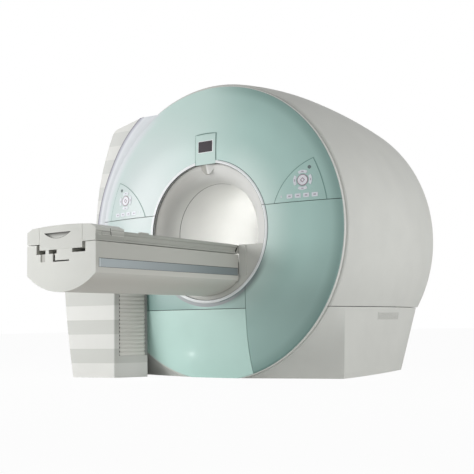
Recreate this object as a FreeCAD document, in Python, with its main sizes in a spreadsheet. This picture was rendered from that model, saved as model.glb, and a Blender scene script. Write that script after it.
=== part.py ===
import FreeCAD, Part
import math
import os
from types import SimpleNamespace

import Sketcher
from FreeCAD import Placement, Rotation, Vector

# Whole-body scanner: a horizontal magnet with a 0.70 m patient bore, round front covers, a shell
# turned about the bore axis, skirts down to the floor, and a patient table carried by a lift
# column that stands at the left of the bore.
# Frame: origin on the floor below the centre of the round front's rim; +X right seen from the
# front, +Y into the bore, +Z up. The front faces -Y. Lengths in millimetres, angles in degrees.

os.makedirs("parts", exist_ok=True)
doc = FreeCAD.newDocument("scanner")

# ------------------------------------------------------------------ driving sizes
SIZES = {
    # bore and round front
    "axis_height": 1005,        # floor to the bore axis
    "bore_radius": 350,
    "liner_wall": 8,
    "front_radius": 1025,       # rim of the round front, at y = 0
    "dome_radius": 2229,        # bulge of the round front
    "dome_inner": 495,          # bore ring's edge, where the bulge starts
    "front_wall": 14,
    "rim_round": 10,
    "seam": 4,                  # gap between two covers
    "upper_seam": 144,          # seam over the side covers, above the axis
    "lower_seam": 537,          # seam over the service panel, below the axis
    "service_edge": 309,        # right edge of the service panel
    "service_flare": 18,        # how far that edge sweeps out on its way to the floor
    "service_sweep": 330,
    "ring_width": 18,
    "ring_proud": 3,
    "flange_wall": 6,
    "flange_reach": 25,
    "flare": 136,               # radius of the trumpet at each bore end
    "flare_length": 135,
    "flare_start": 50,          # front mouth, before the rim plane
    # body shell
    "lip_depth": 26,            # shell's front lip, behind the rim plane
    "lip_overlap": 24,          # how far the lip reaches in behind the round front
    "body_wall": 6,
    "body_step": 21,            # shell's front edge, outside the round front
    "front_round": 7,
    "body_swell": 46,           # from there out to the widest part
    "widest_at": 592,
    "rear_step": 4,             # shell where the rear corner starts, outside its front edge
    "rear_setback": 111,
    "body_length": 1541,
    "rear_corner": 123,
    "rear_plate": 9,
    "rear_lip": 45,
    # magnet
    "vessel_radius": 910,
    "vessel_flange": 15,
    "vessel_bore": 450,
    "vessel_start": 110,
    "vessel_setback": 145,
    "flange_length": 30,
    "body_coil_wall": 26,
    "gradient_inset": 20,
    "seat_gap": 0.3,            # between pieces that seat on each other
    # frame under the magnet
    "beam_at": 520,
    "beam_width": 120,
    "beam_start": 120,
    "beam_setback": 161,
    "beam_height": 110,
    "foot_height": 30,
    "foot_radius": 60,
    "foot_inset": 80,
    "saddle_half": 700,
    "saddle_width": 120,
    "saddle_inset": 180,
    "saddle_top": 430,
    # skirts
    "skirt_wall": 6,
    "skirt_top": 466,
    "skirt_front": 192,         # where the side wall starts, behind the rim plane
    "skirt_inset": 80,          # widest place of the skirts' top, inside the front radius
    "skirt_front_taper": 27,    # from there in to the other places of the top edge
    "skirt_rear_taper": 49,
    "skirt_front_tuck": 48,     # and to the foot
    "skirt_mid_tuck": 52,
    "skirt_rear_tuck": 123,
    "skirt_rear_low": 291,      # where the rear corner starts before the body's end, at the floor
    "skirt_rear_high": 141,     # and at the top
    "skirt_corner": 140,
    "apron_step": 15,
    "body_seat": 780,           # half width of the opening in the skirts' top
    "grille_start": 646,
    "grille_length": 372,
    "grille_low": 377,
    "grille_height": 53,
    "grille_depth": 14,
    "grille_edge": 5,
    "slat_wall": 2,
    # table
    "table_half": 265.5,
    "table_near": 1455,         # near end, before the rim plane
    "table_far": 74,
    "chassis_top": 828.5,
    "side_low": 656,
    "facet_low": 618,
    "facet_half": 212,
    "belly_low": 558,
    "chassis_wall": 8,
    "keel_half": 165,
    "keel_low": 798,
    "channel_gap": 25,          # beside the keel
    "channel_low": 775,
    "narrow_strip": 92,         # wear strips that carry the keel: a narrow and a wide one
    "narrow_width": 26,
    "wide_strip_left": 29,
    "wide_strip_right": 90,
    "slide_gap": 0.5,
    "top_under": 832,           # underside of the tabletop's wings
    "top_edge": 895,
    "dish": 25,
    "dish_half": 225,
    "edge_round": 11,
    "under_round": 5,
    "groove_low": 842,          # groove along the tabletop's sides
    "groove_high": 878,
    "groove_depth": 7,
    "far_lean": 38,             # how far the tabletop's far end leans
    "grip_start": 1085,
    "grip_length": 95,
    "grip_width": 24,
    "grip_rise": 7,
    "cap_length": 232,
    "cap_edge": 905,
    "cap_shoulder": 925,
    "cap_crown": 934,
    "cap_crown_half": 222,
    "stripe_low": 687,
    "stripe_height": 49,
    "stripe_depth": 8,
    "stripe_recess": 1,
    "stripe_inset": 35,
    "line": 2,                  # grooves drawn on the end cap
    "line_depth": 1.5,
    "cap_line_at": 1338,
    "cap_line_low": 864,
    "handle_at": 25,            # crescent handle in the end cap, left of the middle
    "handle_half": 104,
    "handle_top": 893,
    "handle_drop": 34,
    "handle_depth": 10,
    "hook_left": 60,            # hook-shaped slot and the recess in the chassis' near end
    "hook_width": 18,
    "hook_low": 729,
    "hook_height": 7,
    "hook_right": 68,
    "recess_left": 157,
    "recess_right": 120,
    "recess_low": 731,
    "recess_depth": 5,
    "bridge_front": 62,
    "bridge_setback": 91,
    "bridge_half": 250,
    "cheek_gap": 2.5,
    "cheek_width": 14,
    "cheek_depth": 92,
    "cheek_low": 790,
    "docking_wall": 11,         # plate that closes the foot of the bore's mouth
    "docking_proud": 8,
    "docking_outer": 322,
    "docking_low": 690,
    # lift column
    "column_inset": 13,         # outer edge at the floor, inside the front radius
    "column_lean": 105,         # from there out to its widest place
    "widest_height": 1080,
    "column_front": 326,
    "face_front_x": 672,        # slanted inner face: its front and back corners
    "face_front_y": 263,
    "face_back_x": 535,
    "column_back": 68,
    "column_flange": 62,        # width of the strip beside the round front's rim
    "flange_top": 30,
    "flange_straight": 500,
    "column_top": 905,
    "shoulder_low_up": 59,      # the shoulder's plan at two heights above the column's top
    "shoulder_low_front": 230,
    "shoulder_low_front_x": 800,
    "shoulder_low_back_x": 720,
    "shoulder_low_back": 190,
    "shoulder_high_up": 120,
    "shoulder_high_front": 130,
    "shoulder_high_front_x": 960,
    "shoulder_high_back_x": 930,
    "shoulder_high_back": 115,
    "column_wall": 6,
    "slot_start": 34,           # bellows slot, along the inner face from its front corner
    "slot_width": 188,
    "slot_low": 154,
    "slot_high": 890,
    "bellows_gap": 2,
    "bellows_proud": 4,
    "bellows_depth": 16,
    "bellows_pitch": 28,
    "packed_pitch": 10.6,       # where the bellows lies folded up
    "fold_depth": 5,
    "arm_low": 742,
    "arm_height": 75,
    "arm_half": 55,
    "arm_root": 90,             # how far the arm reaches back from the inner face
    "wing_depth": 300,
    "wing_drop": 108,           # the side cover's top corners, below and inside the front's rim
    "wing_end_inset": 385,
    "wing_corner": 90,
    "wing_corner_drop": 164,
    "wing_corner_inset": 145,
    "wing_shoulder_drop": 215,
    "wing_shoulder_inset": 77,
    "ear_width": 52,
    "ear_proud": 8,
    "ear_low": 910,
    "ear_drop": 123,
    "base_wall": 12,
    "anchor_radius": 7,
    "anchor_first_x": 975,
    "anchor_pitch_x": 120,
    "plate_gap": 2,
    "anchor_first_y": 280,
    "anchor_pitch_y": 170,
    "mast_wall": 16,
    "mast_left": 900,
    "mast_right": 600,
    "mast_top": 885,
    "mast_gap": 2,
    "bracket_height": 20,
    "rail_at": 150,             # rails and screw, before the rim plane
    "rail_radius": 12,
    "screw_radius": 16,
    "screw_at": 745,
    "rail_pitch": 45,
    "carriage_low": 690,
    "carriage_height": 140,
    "carriage_left": 820,
    "carriage_right": 655,
    "carriage_front": 200,
    "carriage_back": 95,
    "motor_radius": 38,
    "motor_at": 870,
    "motor_length": 160,
    "gearbox_height": 30,
    "gearbox_half": 42,
    # controls
    "panel_inner_inset": 473,   # inside the front radius, as the other insets here
    "panel_apex_up": 424,
    "panel_curve": 449,
    "panel_margin": 95,
    "panel_gap": 2,
    "panel_proud": 1.5,
    "panel_depth": 10,
    "rocker_inset": 268,
    "rocker_up": 283,
    "rocker_radius": 38,
    "rocker_gap": 0.8,
    "rocker_split": 3,
    "pivot_radius": 2.5,
    "pivot_depth": 5,
    "pivot_reach": 4,
    "arc_key_inner": 46,
    "arc_key_outer": 66,
    "row_key_inset": 360,
    "row_key_up": 182,
    "row_key_pitch": 58.4,
    "row_key_half": 21,
    "row_key_half_up": 14,
    "key_round": 4,
    "key_proud": 3,
    "key_depth": 6,
    "key_travel": 2.5,
    "key_gap": 0.4,
    "lamp_inset": 222,
    "lamp_up": 365,
    "lamp_radius": 12,
    "lamp_proud": 2,
    "tongue_half": 85,
    "tongue_top": 682,
    "tongue_low": 466,
    "tongue_round": 8,
    "tongue_proud": 6,
    "screen_half": 59,
    "screen_low": 555,
    "screen_high": 632,
    "screen_depth": 2,
    "nose_half": 74,            # light housing: a keeled nose from the display into the bore
    "nose_reach": 52,
    "nose_tip_half": 20,
    "nose_edge": 4,
    "nose_fall": 70,
    "window_radius": 5,
    "window_length": 72,
    "window_inset": 12,
}
ARC_KEY_SPREAD = 31     # half angle of an arc key
ROCKER_TURN = 45        # the rocker tilts about a diagonal
ROW_KEYS = 4
SLATS = 4
COLUMN_STEPS = 4        # plans that the column's straight part is drawn through
WINDOW_SHARE = 0.4      # window's place along the light housing
OUTLINE_SHIFTS = (1.4, 1.23)    # panel's corner and apex move so far for a gap of one all round

sheet = doc.addObject("Spreadsheet::Sheet", "Sizes")
for row, (alias, value) in enumerate(SIZES.items(), 1):
    sheet.set(f"A{row}", alias)
    sheet.set(f"B{row}", str(value))
    sheet.setAlias(f"B{row}", alias)
doc.recompute()


class Size:
    """A length: its value now, and the spreadsheet expression that gives it."""

    def __init__(self, value, text):
        self.value = float(value)
        self.text = text

    def __float__(self):
        return self.value

    def __neg__(self):
        return Size(-self.value, f"(-1 * {self.text})")

    def __add__(self, other):
        return Size(self.value + float(other), f"({self.text} + {words(other)})")

    def __radd__(self, other):
        return Size(float(other) + self.value, f"({words(other)} + {self.text})")

    def __sub__(self, other):
        return Size(self.value - float(other), f"({self.text} - {words(other)})")

    def __rsub__(self, other):
        return Size(float(other) - self.value, f"({words(other)} - {self.text})")

    def __mul__(self, other):
        return Size(self.value * float(other), f"({self.text} * {words(other)})")

    __rmul__ = __mul__

    def __truediv__(self, other):
        return Size(self.value / float(other), f"({self.text} / {words(other)})")


def words(size):
    """The size as a spreadsheet expression."""
    return size.text if isinstance(size, Size) else repr(float(size))


def leg(longest, other):
    """The third side of a right-angled triangle, from its longest side and another."""
    value = math.sqrt(float(longest) ** 2 - float(other) ** 2)
    return Size(value, f"sqrt({words(longest)} * {words(longest)} - {words(other)} * {words(other)})")


def bulge_radius(along, rise):
    """Radius of the arc that runs level at one end and has risen at the other."""
    return (along * along + rise * rise) / (2 * rise)


s = SimpleNamespace(**{alias: Size(sheet.get(alias), "Sizes." + alias) for alias in SIZES})
FLOOR = Size(0, "0")
FAR = s.body_length * 3     # reach of the tools that trim a piece on its open side

# places and radii that follow from the driving sizes
dome_middle = leg(s.dome_radius, s.front_radius - s.dome_inner)
dome_depth = s.dome_radius - dome_middle
body_front = s.front_radius + s.body_step
body_widest = body_front + s.body_swell
body_rear = body_front + s.rear_step
rear_at = s.body_length - s.rear_setback
lip_inner = s.front_radius - s.lip_overlap
vessel_end = s.body_length - s.vessel_setback
beam_end = s.body_length - s.beam_setback
skirt_half = s.front_radius - s.skirt_inset
bridge_end = s.body_length - s.bridge_setback
column_foot = s.front_radius - s.column_inset
column_widest = column_foot + s.column_lean
rim_top = s.axis_height + s.front_radius


# ------------------------------------------------------------------ ways to build
def bind(thing, prop, size):
    """Set a size of an object, through the spreadsheet where it comes from there."""
    setattr(thing, prop, float(size))
    if isinstance(size, Size):
        thing.setExpression(prop, size.text)


def place(thing, x=0, y=0, z=0, turn=None):
    thing.Placement = Placement(Vector(float(x), float(y), float(z)), turn or Rotation())
    for axis, size in zip("xyz", (x, y, z)):
        if isinstance(size, Size):
            thing.setExpression(".Placement.Base." + axis, size.text)
    return thing


def box(name, low, high, frame=None):
    """A box between two corners, in the part's frame or in a local one."""
    thing = doc.addObject("Part::Box", name)
    for prop, a, b in zip(("Length", "Width", "Height"), low, high):
        bind(thing, prop, b - a)
    if frame is None:
        return place(thing, *low)
    thing.Placement = frame * Placement(Vector(*(float(a) for a in low)), Rotation())
    return thing


def cylinder(name, radius, length, at=(0, 0, 0), along="z", frame=None):
    turns = {"x": Rotation(Vector(0, 1, 0), 90), "y": Rotation(Vector(1, 0, 0), -90), "z": None}
    thing = doc.addObject("Part::Cylinder", name)
    bind(thing, "Radius", radius)
    bind(thing, "Height", length)
    if frame is None:
        return place(thing, *at, turn=turns[along])
    thing.Placement = frame * Placement(Vector(*(float(a) for a in at)), turns[along] or Rotation())
    return thing


def shaped(name, shape):
    """An object for a form that neither a primitive nor a sketch gives."""
    thing = doc.addObject("Part::Feature", name)
    thing.Shape = shape
    return thing


def cut(name, base, *tools):
    for number, tool in enumerate(tools, 1):
        last = number == len(tools)
        thing = doc.addObject("Part::Cut", name if last else f"{name}_less_{number}")
        thing.Base = base
        thing.Tool = tool
        base = thing
    return base


def common(name, base, tool):
    thing = doc.addObject("Part::Common", name)
    thing.Base = base
    thing.Tool = tool
    return thing


def fuse(name, *pieces):
    thing = doc.addObject("Part::MultiFuse", name)
    thing.Shapes = list(pieces)
    return thing


def arc_between(p, q, radius, turn):
    """The short arc from p to q; turn is left (anticlockwise) or right."""
    chord = q - p
    middle = (p + q) * 0.5
    sideways = Vector(-chord.y, chord.x, 0).normalize()
    height = math.sqrt(max(radius ** 2 - (chord.Length / 2) ** 2, 0))
    centre = middle + sideways * (height if turn == "left" else -height)
    first, last = (p, q) if turn == "left" else (q, p)
    start, end = [math.atan2(point.y - centre.y, point.x - centre.x) for point in (first, last)]
    if end < start:
        end += 2 * math.pi
    return Part.ArcOfCircle(Part.Circle(centre, Vector(0, 0, 1), radius), start, end)


def pin_point(sketch, curve, end, across, up):
    """Hold a sketch point at its distances from the sketch's origin."""
    for kind, size, axis in (("DistanceX", across, -2), ("DistanceY", up, -1)):
        value = float(size)
        if abs(value) < 1e-9:
            sketch.addConstraint(Sketcher.Constraint("PointOnObject", curve, end, axis))
            continue
        ends = (-1, 1, curve, end) if value > 0 else (curve, end, -1, 1)
        number = sketch.addConstraint(Sketcher.Constraint(kind, *ends, abs(value)))
        if isinstance(size, Size):
            label = f"{kind}_{curve}"
            sketch.renameConstraint(number, label)
            sketch.setExpression("Constraints." + label, (size if value > 0 else -size).text)


def draw(sketch, steps):
    """A closed outline. A step is the point (across, up) where an edge starts; the edge to the
    next point is straight, or an arc where the step adds a radius and left or right."""
    points = [Vector(float(step[0]), float(step[1]), 0) for step in steps]
    starts = []
    for number, step in enumerate(steps):
        p, q = points[number], points[(number + 1) % len(points)]
        if len(step) == 2:
            sketch.addGeometry(Part.LineSegment(p, q), False)
            starts.append(1)
        else:
            sketch.addGeometry(arc_between(p, q, float(step[2]), step[3]), False)
            starts.append(1 if step[3] == "left" else 2)
    for number, step in enumerate(steps):
        after = (number + 1) % len(steps)
        end = 3 - starts[number]
        sketch.addConstraint(Sketcher.Constraint("Coincident", number, end, after, starts[after]))
        pin_point(sketch, number, starts[number], step[0], step[1])
        if len(step) > 2:
            held = sketch.addConstraint(Sketcher.Constraint("Radius", number, float(step[2])))
            if isinstance(step[2], Size):
                sketch.renameConstraint(held, f"Radius_{number}")
                sketch.setExpression(f"Constraints.Radius_{number}", step[2].text)


def sketched_body(name, plane, steps):
    body = doc.addObject("PartDesign::Body", name)
    sketch = body.newObject("Sketcher::SketchObject", name + "_outline")
    support = [thing for thing in body.Origin.OriginFeatures if thing.Role == plane][0]
    sketch.AttachmentSupport = [(support, "")]
    sketch.MapMode = "FlatFace"
    draw(sketch, steps)
    return body, sketch


def turned(name, steps):
    """A body turned about the bore axis. The outline's points are (y, distance from the axis)."""
    body, sketch = sketched_body(name, "YZ_Plane", steps)
    turn = body.newObject("PartDesign::Revolution", name + "_turn")
    turn.Profile = sketch
    turn.ReferenceAxis = (sketch, ["H_Axis"])
    turn.Angle = 360
    body.Tip = turn
    return place(body, 0, 0, s.axis_height)


def padded(name, steps, depth, at):
    """A body padded towards +Y from an outline of points (x, z)."""
    body, sketch = sketched_body(name, "XZ_Plane", steps)
    pad = body.newObject("PartDesign::Pad", name + "_pad")
    pad.Profile = sketch
    bind(pad, "Length", depth)
    pad.Reversed = True
    body.Tip = pad
    return place(body, *at)


def raised(name, steps, depth, at=(0, 0, 0), frame=None):
    """A body padded upward, or outward in a local frame, from an outline of points (x, y)."""
    body, sketch = sketched_body(name, "XY_Plane", steps)
    pad = body.newObject("PartDesign::Pad", name + "_pad")
    pad.Profile = sketch
    bind(pad, "Length", depth)
    body.Tip = pad
    if frame is None:
        return place(body, *at)
    body.Placement = frame * Placement(Vector(*(float(a) for a in at)), Rotation())
    return body


def mirrored(steps):
    """The outline's right half, from top to bottom, closed by its mirror image."""
    back = []
    for number in range(len(steps) - 1, -1, -1):
        arc = steps[number - 1][2:] if number else ()
        back.append((-steps[number][0], steps[number][1]) + tuple(arc))
    return steps + back


def rounded(low_x, low_up, high_x, high_up, radius):
    """A rectangle with round corners."""
    return [
        (low_x + radius, low_up),
        (high_x - radius, low_up, radius, "left"),
        (high_x, low_up + radius),
        (high_x, high_up - radius, radius, "left"),
        (high_x - radius, high_up),
        (low_x + radius, high_up, radius, "left"),
        (low_x, high_up - radius),
        (low_x, low_up + radius, radius, "left"),
    ]


def loft(*wires):
    return Part.makeLoft(list(wires), True, True)


def ring_of(points):
    return Part.makePolygon(list(points) + [points[0]])


def moved_in(points, inset):
    """A polygon moved in by a wall, its points going round anticlockwise."""
    result = []
    for number, point in enumerate(points):
        before, after = points[number - 1], points[(number + 1) % len(points)]
        first, second = (point - before).normalize(), (after - point).normalize()
        normal_1, normal_2 = Vector(-first.y, first.x, 0), Vector(-second.y, second.x, 0)
        reach = inset / (1 + normal_1.dot(normal_2))
        result.append(point + (normal_1 + normal_2) * reach)
    return result


nodes = {}


def node(name, thing):
    """A sub-part that gets a file of its own."""
    thing.Label = name
    nodes[name] = thing
    return thing


SIDES = (("right", 1), ("left", -1))

# ------------------------------------------------------------------ round front
def dome_y(reach, behind=0):
    """Where the bulge of the front, or a surface behind it, lies at a distance from the axis."""
    return dome_middle - leg(s.dome_radius - behind, reach - s.dome_inner)


def dome_slice(name, before, behind):
    """A layer of the round front, out to the panels' outer edge and past it."""
    inner, outer = s.dome_inner + s.ring_width, s.front_radius - s.front_wall
    return turned(name, [
        (dome_y(inner, -before), inner, s.dome_radius + before, "right"),
        (dome_y(outer, -before), outer),
        (dome_y(outer, behind), outer, s.dome_radius - behind, "left"),
        (dome_y(inner, behind), inner),
    ])


half_seam = s.seam * 0.5
cover_inner = s.dome_inner + half_seam
rim_start = s.front_radius - s.rim_round
rim_inner = s.front_radius - s.front_wall
front_back = s.lip_depth - s.seat_gap
front_shell = turned("front_shell", [
    (dome_y(cover_inner), cover_inner, s.dome_radius, "right"),
    (dome_y(rim_start), rim_start, s.rim_round, "right"),
    (dome_y(rim_start) + s.rim_round, s.front_radius),
    (front_back, s.front_radius),
    (front_back, rim_inner),
    (dome_y(rim_inner, s.front_wall), rim_inner, s.dome_radius - s.front_wall, "left"),
    (dome_y(cover_inner, s.front_wall), cover_inner),
])

seam_up = s.axis_height + s.upper_seam
seam_low = s.axis_height - s.lower_seam
span = s.front_radius + s.seam


def region(name, low_x, high_x, low_z, high_z):
    """The part of the round front that a cover takes."""
    return box(name, (low_x, -2 * dome_depth, low_z), (high_x, 2 * s.lip_depth, high_z))


def swept_region(name, way, edge, outline):
    """A region whose one side is the service panel's edge, which sweeps out towards the floor."""
    sweep = bulge_radius(s.service_sweep, s.service_flare)
    foot = (edge + s.service_flare, FLOOR)
    bend = (edge, s.service_sweep)
    if way > 0:
        steps = [foot] + outline + [bend + (sweep, "left")]
    else:
        steps = [foot + (sweep, "right"), bend] + outline
    return padded(name, steps, 3 * dome_depth, (0, -2 * dome_depth, 0))


upper_blank = common("upper_blank", front_shell, region(
    "upper_region", -span, span, seam_up + half_seam, s.axis_height + span))
right_edge = s.service_edge + half_seam
panel_edge = s.service_edge - half_seam
node("front_cover_right", common("front_cover_right", front_shell, swept_region(
    "right_region", 1, right_edge,
    [(span, FLOOR), (span, seam_up - half_seam), (right_edge, seam_up - half_seam)])))
node("front_cover_left", common("front_cover_left", front_shell, region(
    "left_region", -span, panel_edge, seam_low + half_seam, seam_up - half_seam)))
node("service_panel", common("service_panel", front_shell, swept_region(
    "service_region", -1, panel_edge,
    [(panel_edge, seam_low - half_seam), (-span, seam_low - half_seam), (-span, FLOOR)])))

# ------------------------------------------------------------------ bore
ring_outer = s.dome_inner - half_seam
ring_inner = ring_outer - s.ring_width
ring_front = -dome_depth - s.ring_proud
ring_back = dome_y(cover_inner, s.front_wall) + s.seat_gap
node("bore_ring", turned("bore_ring", [
    (ring_front, ring_outer - s.seam),
    (ring_front + s.seam, ring_outer),
    (ring_back, ring_outer),
    (ring_back, s.dome_inner + s.flange_reach),
    (ring_back + s.flange_wall, s.dome_inner + s.flange_reach),
    (ring_back + s.flange_wall, ring_inner),
    (ring_front + s.seam, ring_inner),
    (ring_front, ring_inner + s.seam),
]))

flare_centre = s.bore_radius + s.flare
mouth_radius = flare_centre - leg(s.flare, s.flare_length)
flare_back = s.flare - s.liner_wall
liner_start = s.flare_length - s.flare_start
flange_front = ring_back + s.flange_wall + s.seat_gap
flange_end = flange_front + s.flange_wall
funnel_flange = s.dome_inner + s.flange_wall
node("front_funnel", turned("front_funnel", [
    (-s.flare_start, mouth_radius),
    (flange_front, mouth_radius + 1),
    (flange_front, funnel_flange),
    (flange_end, funnel_flange),
    (flange_end, flare_centre - leg(flare_back, liner_start - flange_end)),
    (liner_start, s.bore_radius + s.liner_wall),
    (liner_start, s.bore_radius, s.flare, "right"),
]))

liner_end = s.body_length - s.flare_length
plate_front = s.body_length - s.rear_plate
flange_rear = plate_front - s.flange_wall
rear_mouth = s.dome_inner - 2 * s.seam
rear_flange = s.dome_inner + s.flange_reach
node("rear_funnel", turned("rear_funnel", [
    (liner_end, s.bore_radius, s.flare, "left"),
    (s.body_length, mouth_radius),
    (s.body_length, rear_mouth),
    (plate_front, rear_mouth),
    (plate_front, rear_flange),
    (flange_rear, rear_flange),
    (flange_rear, flare_centre - leg(flare_back, flange_rear - liner_end)),
    (liner_end, s.bore_radius + s.liner_wall),
]))


def tube(name, start, end, inner, outer):
    return turned(name, [(start, inner), (start, outer), (end, outer), (end, inner)])


liner_outer = s.bore_radius + s.liner_wall
coil_inner = liner_outer + s.seat_gap
coil_outer = coil_inner + s.body_coil_wall
tube_start, tube_end = liner_start + s.seat_gap, liner_end - s.seat_gap
node("bore_liner", tube("bore_liner", tube_start, tube_end, s.bore_radius, liner_outer))
node("rf_body_coil", tube("rf_body_coil", tube_start, tube_end, coil_inner, coil_outer))
node("gradient_coil", tube("gradient_coil", s.vessel_start + s.gradient_inset,
                           vessel_end - s.gradient_inset,
                           coil_outer + s.seat_gap, s.vessel_bore - s.seat_gap))
flange_radius = s.vessel_radius + s.vessel_flange
node("magnet_vessel", turned("magnet_vessel", [
    (s.vessel_start, s.vessel_bore),
    (s.vessel_start, flange_radius),
    (s.vessel_start + s.flange_length, flange_radius),
    (s.vessel_start + s.flange_length, s.vessel_radius),
    (vessel_end - s.flange_length, s.vessel_radius),
    (vessel_end - s.flange_length, flange_radius),
    (vessel_end, flange_radius),
    (vessel_end, s.vessel_bore),
]))

# ------------------------------------------------------------------ frame under the magnet
frame_pieces = []
feet = []
for side, way in SIDES:
    middle = s.beam_at * way
    frame_pieces.append(box(
        f"beam_{side}",
        (middle - s.beam_width * 0.5, s.beam_start, s.foot_height),
        (middle + s.beam_width * 0.5, beam_end, s.foot_height + s.beam_height)))
    for end, foot_y in (("front", s.beam_start + s.foot_inset), ("rear", beam_end - s.foot_inset)):
        feet.append(cylinder(f"foot_{side}_{end}", s.foot_radius, s.foot_height, (middle, foot_y, 0)))
for end, start in (("front", s.beam_start + s.saddle_inset),
                   ("rear", beam_end - s.saddle_inset - s.saddle_width)):
    frame_pieces.append(box(f"saddle_{end}", (-s.saddle_half, start, s.foot_height),
                            (s.saddle_half, start + s.saddle_width, s.saddle_top)))
cradle = cylinder("cradle", s.vessel_radius + s.seat_gap, s.body_length, (0, 0, s.axis_height), "y")
node("base_frame", cut("base_frame", fuse("frame_blank", *frame_pieces), cradle))
node("levelling_feet", fuse("levelling_feet", *feet))

# ------------------------------------------------------------------ body shell and rear cover
front_bulge = bulge_radius(s.widest_at - s.lip_depth - s.front_round, body_widest - body_front)
rear_bulge = bulge_radius(rear_at - s.widest_at, body_widest - body_rear)
corner_y = s.body_length - s.rear_corner
corner_up = body_rear - leg(s.rear_corner, rear_at - corner_y)
corner_share = (s.rear_corner - s.body_wall) / s.rear_corner
inner_bulge = front_bulge - s.body_wall
inner_widest = body_widest - s.body_wall
inner_lip = s.lip_depth + s.body_wall
rear_edge = corner_up - half_seam
body_shell = turned("body_shell", [
    (s.lip_depth, lip_inner),
    (s.lip_depth, body_front - s.front_round),
    (s.lip_depth + s.front_round, body_front, front_bulge, "right"),
    (s.widest_at, body_widest, rear_bulge, "right"),
    (rear_at, body_rear, s.rear_corner, "right"),
    (s.body_length, corner_up),
    (s.body_length, rear_edge),
    (plate_front, rear_edge),
    (plate_front, rear_edge - s.rear_lip),
    (flange_rear, rear_edge - s.rear_lip),
    (flange_rear, corner_up + leg(s.rear_corner - s.body_wall, flange_rear - corner_y)),
    (corner_y + (rear_at - corner_y) * corner_share,
     corner_up + (body_rear - corner_up) * corner_share, rear_bulge - s.body_wall, "left"),
    (s.widest_at, inner_widest, inner_bulge, "left"),
    (inner_lip, inner_widest - inner_bulge + leg(inner_bulge, s.widest_at - inner_lip)),
    (inner_lip, lip_inner),
])
shell_low = s.skirt_top + s.seam


def half_space(name, way, low_z, high_z):
    """Everything at one side of the middle seam, between two heights."""
    low_x, high_x = (half_seam * 0.5, FAR) if way > 0 else (-FAR, half_seam * -0.5)
    return box(name, (low_x, -FAR, low_z), (high_x, FAR, high_z))


for side, way in SIDES:
    node(f"body_cover_{side}", common(f"body_cover_{side}", body_shell, half_space(
        f"body_region_{side}", way, shell_low, FAR)))

rear_inner = rear_mouth + half_seam
rear_outer = rear_edge - s.seam
rear_chamfer = s.seam * 0.75
rear_disc = turned("rear_disc", [
    (plate_front + s.seat_gap, rear_inner),
    (plate_front + s.seat_gap, rear_outer),
    (s.body_length - rear_chamfer, rear_outer),
    (s.body_length, rear_outer - rear_chamfer),
    (s.body_length, rear_inner + rear_chamfer),
    (s.body_length - rear_chamfer, rear_inner),
])
node("rear_cover", common("rear_cover", rear_disc, box(
    "rear_region", (-span, liner_end, shell_low), (span, FAR, FAR))))


# ------------------------------------------------------------------ skirts
skirt_front_top = skirt_half - s.skirt_front_taper
skirt_front_foot = skirt_half - s.skirt_front_tuck


def flipped(point):
    return Vector(-point.x, point.y, point.z)


def skirt_plan(height, inset):
    """The skirt's plan at a height: front line, bowed sides, round rear corners, rear line."""
    share = height / float(s.skirt_top)

    def between(foot, top):
        return float(foot) + (float(top) - float(foot)) * share

    corner = float(s.skirt_corner) - inset
    front = Vector(between(skirt_front_foot, skirt_front_top) - inset, float(s.skirt_front), height)
    middle = Vector(between(skirt_half - s.skirt_mid_tuck, skirt_half) - inset, float(s.widest_at), height)
    start = Vector(between(skirt_half - s.skirt_rear_tuck, skirt_half - s.skirt_rear_taper) - inset,
                   between(s.body_length - s.skirt_rear_low, s.body_length - s.skirt_rear_high), height)
    bend = start + Vector(corner * (math.sqrt(0.5) - 1), corner * math.sqrt(0.5), 0)
    end = start + Vector(-corner, corner, 0)
    return Part.Wire([
        Part.makeLine(flipped(front), front),
        Part.Arc(front, middle, start).toShape(),
        Part.Arc(start, bend, end).toShape(),
        Part.makeLine(end, flipped(end)),
        Part.Arc(flipped(end), flipped(bend), flipped(start)).toShape(),
        Part.Arc(flipped(start), flipped(middle), flipped(front)).toShape(),
    ])


def apron_front(radius, y, low, high):
    """The part of a circle about the bore axis that lies between two heights."""
    centre = float(s.axis_height)

    def on_circle(height):
        return Vector(math.sqrt(radius ** 2 - (centre - height) ** 2), y, height)

    top, between, foot = on_circle(high), on_circle((low + high) / 2), on_circle(low)
    return Part.Wire([
        Part.makeLine(flipped(top), top),
        Part.Arc(top, between, foot).toShape(),
        Part.makeLine(foot, flipped(foot)),
        Part.Arc(flipped(foot), flipped(between), flipped(top)).toShape(),
    ])


def apron_back(low, high, inset):
    def edge(height):
        top, foot = float(skirt_front_top), float(skirt_front_foot)
        x = foot + (top - foot) * height / float(s.skirt_top) - inset
        return Vector(x, float(s.skirt_front), height)

    return ring_of([flipped(edge(high)), edge(high), edge(low), flipped(edge(low))])


def skirt_block(name, inset, low, high):
    radius = float(s.front_radius + s.apron_step) - inset
    sides = loft(skirt_plan(low, inset), skirt_plan(high, inset))
    apron = loft(apron_front(radius, float(s.lip_depth) + inset, low, high), apron_back(low, high, inset))
    return fuse(name, shaped(name + "_sides", sides), shaped(name + "_apron", apron))


skirt_outer = skirt_block("skirt_outer", 0, 0, float(s.skirt_top))
skirt_flange = s.skirt_top - s.skirt_wall
skirt_void = skirt_block("skirt_void", float(s.skirt_wall), -float(s.skirt_wall), float(skirt_flange))
front_hole = cylinder("front_hole", lip_inner, s.skirt_front, (0, 0, s.axis_height), "y")
body_hole = box("body_hole", (-s.body_seat, s.vessel_start - s.flange_length, skirt_flange - s.skirt_wall),
                (s.body_seat, vessel_end + s.flange_length, s.skirt_top + s.skirt_wall))

# vent grille, which leans and turns with the wall it is let into
doc.recompute()


def wall_x(y, z):
    """Where a level line leaves the skirt's right wall."""
    line = Part.makeLine(Vector(0, y, z), Vector(float(FAR), y, z))
    return skirt_outer.Shape.common(line).BoundBox.XMax


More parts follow.
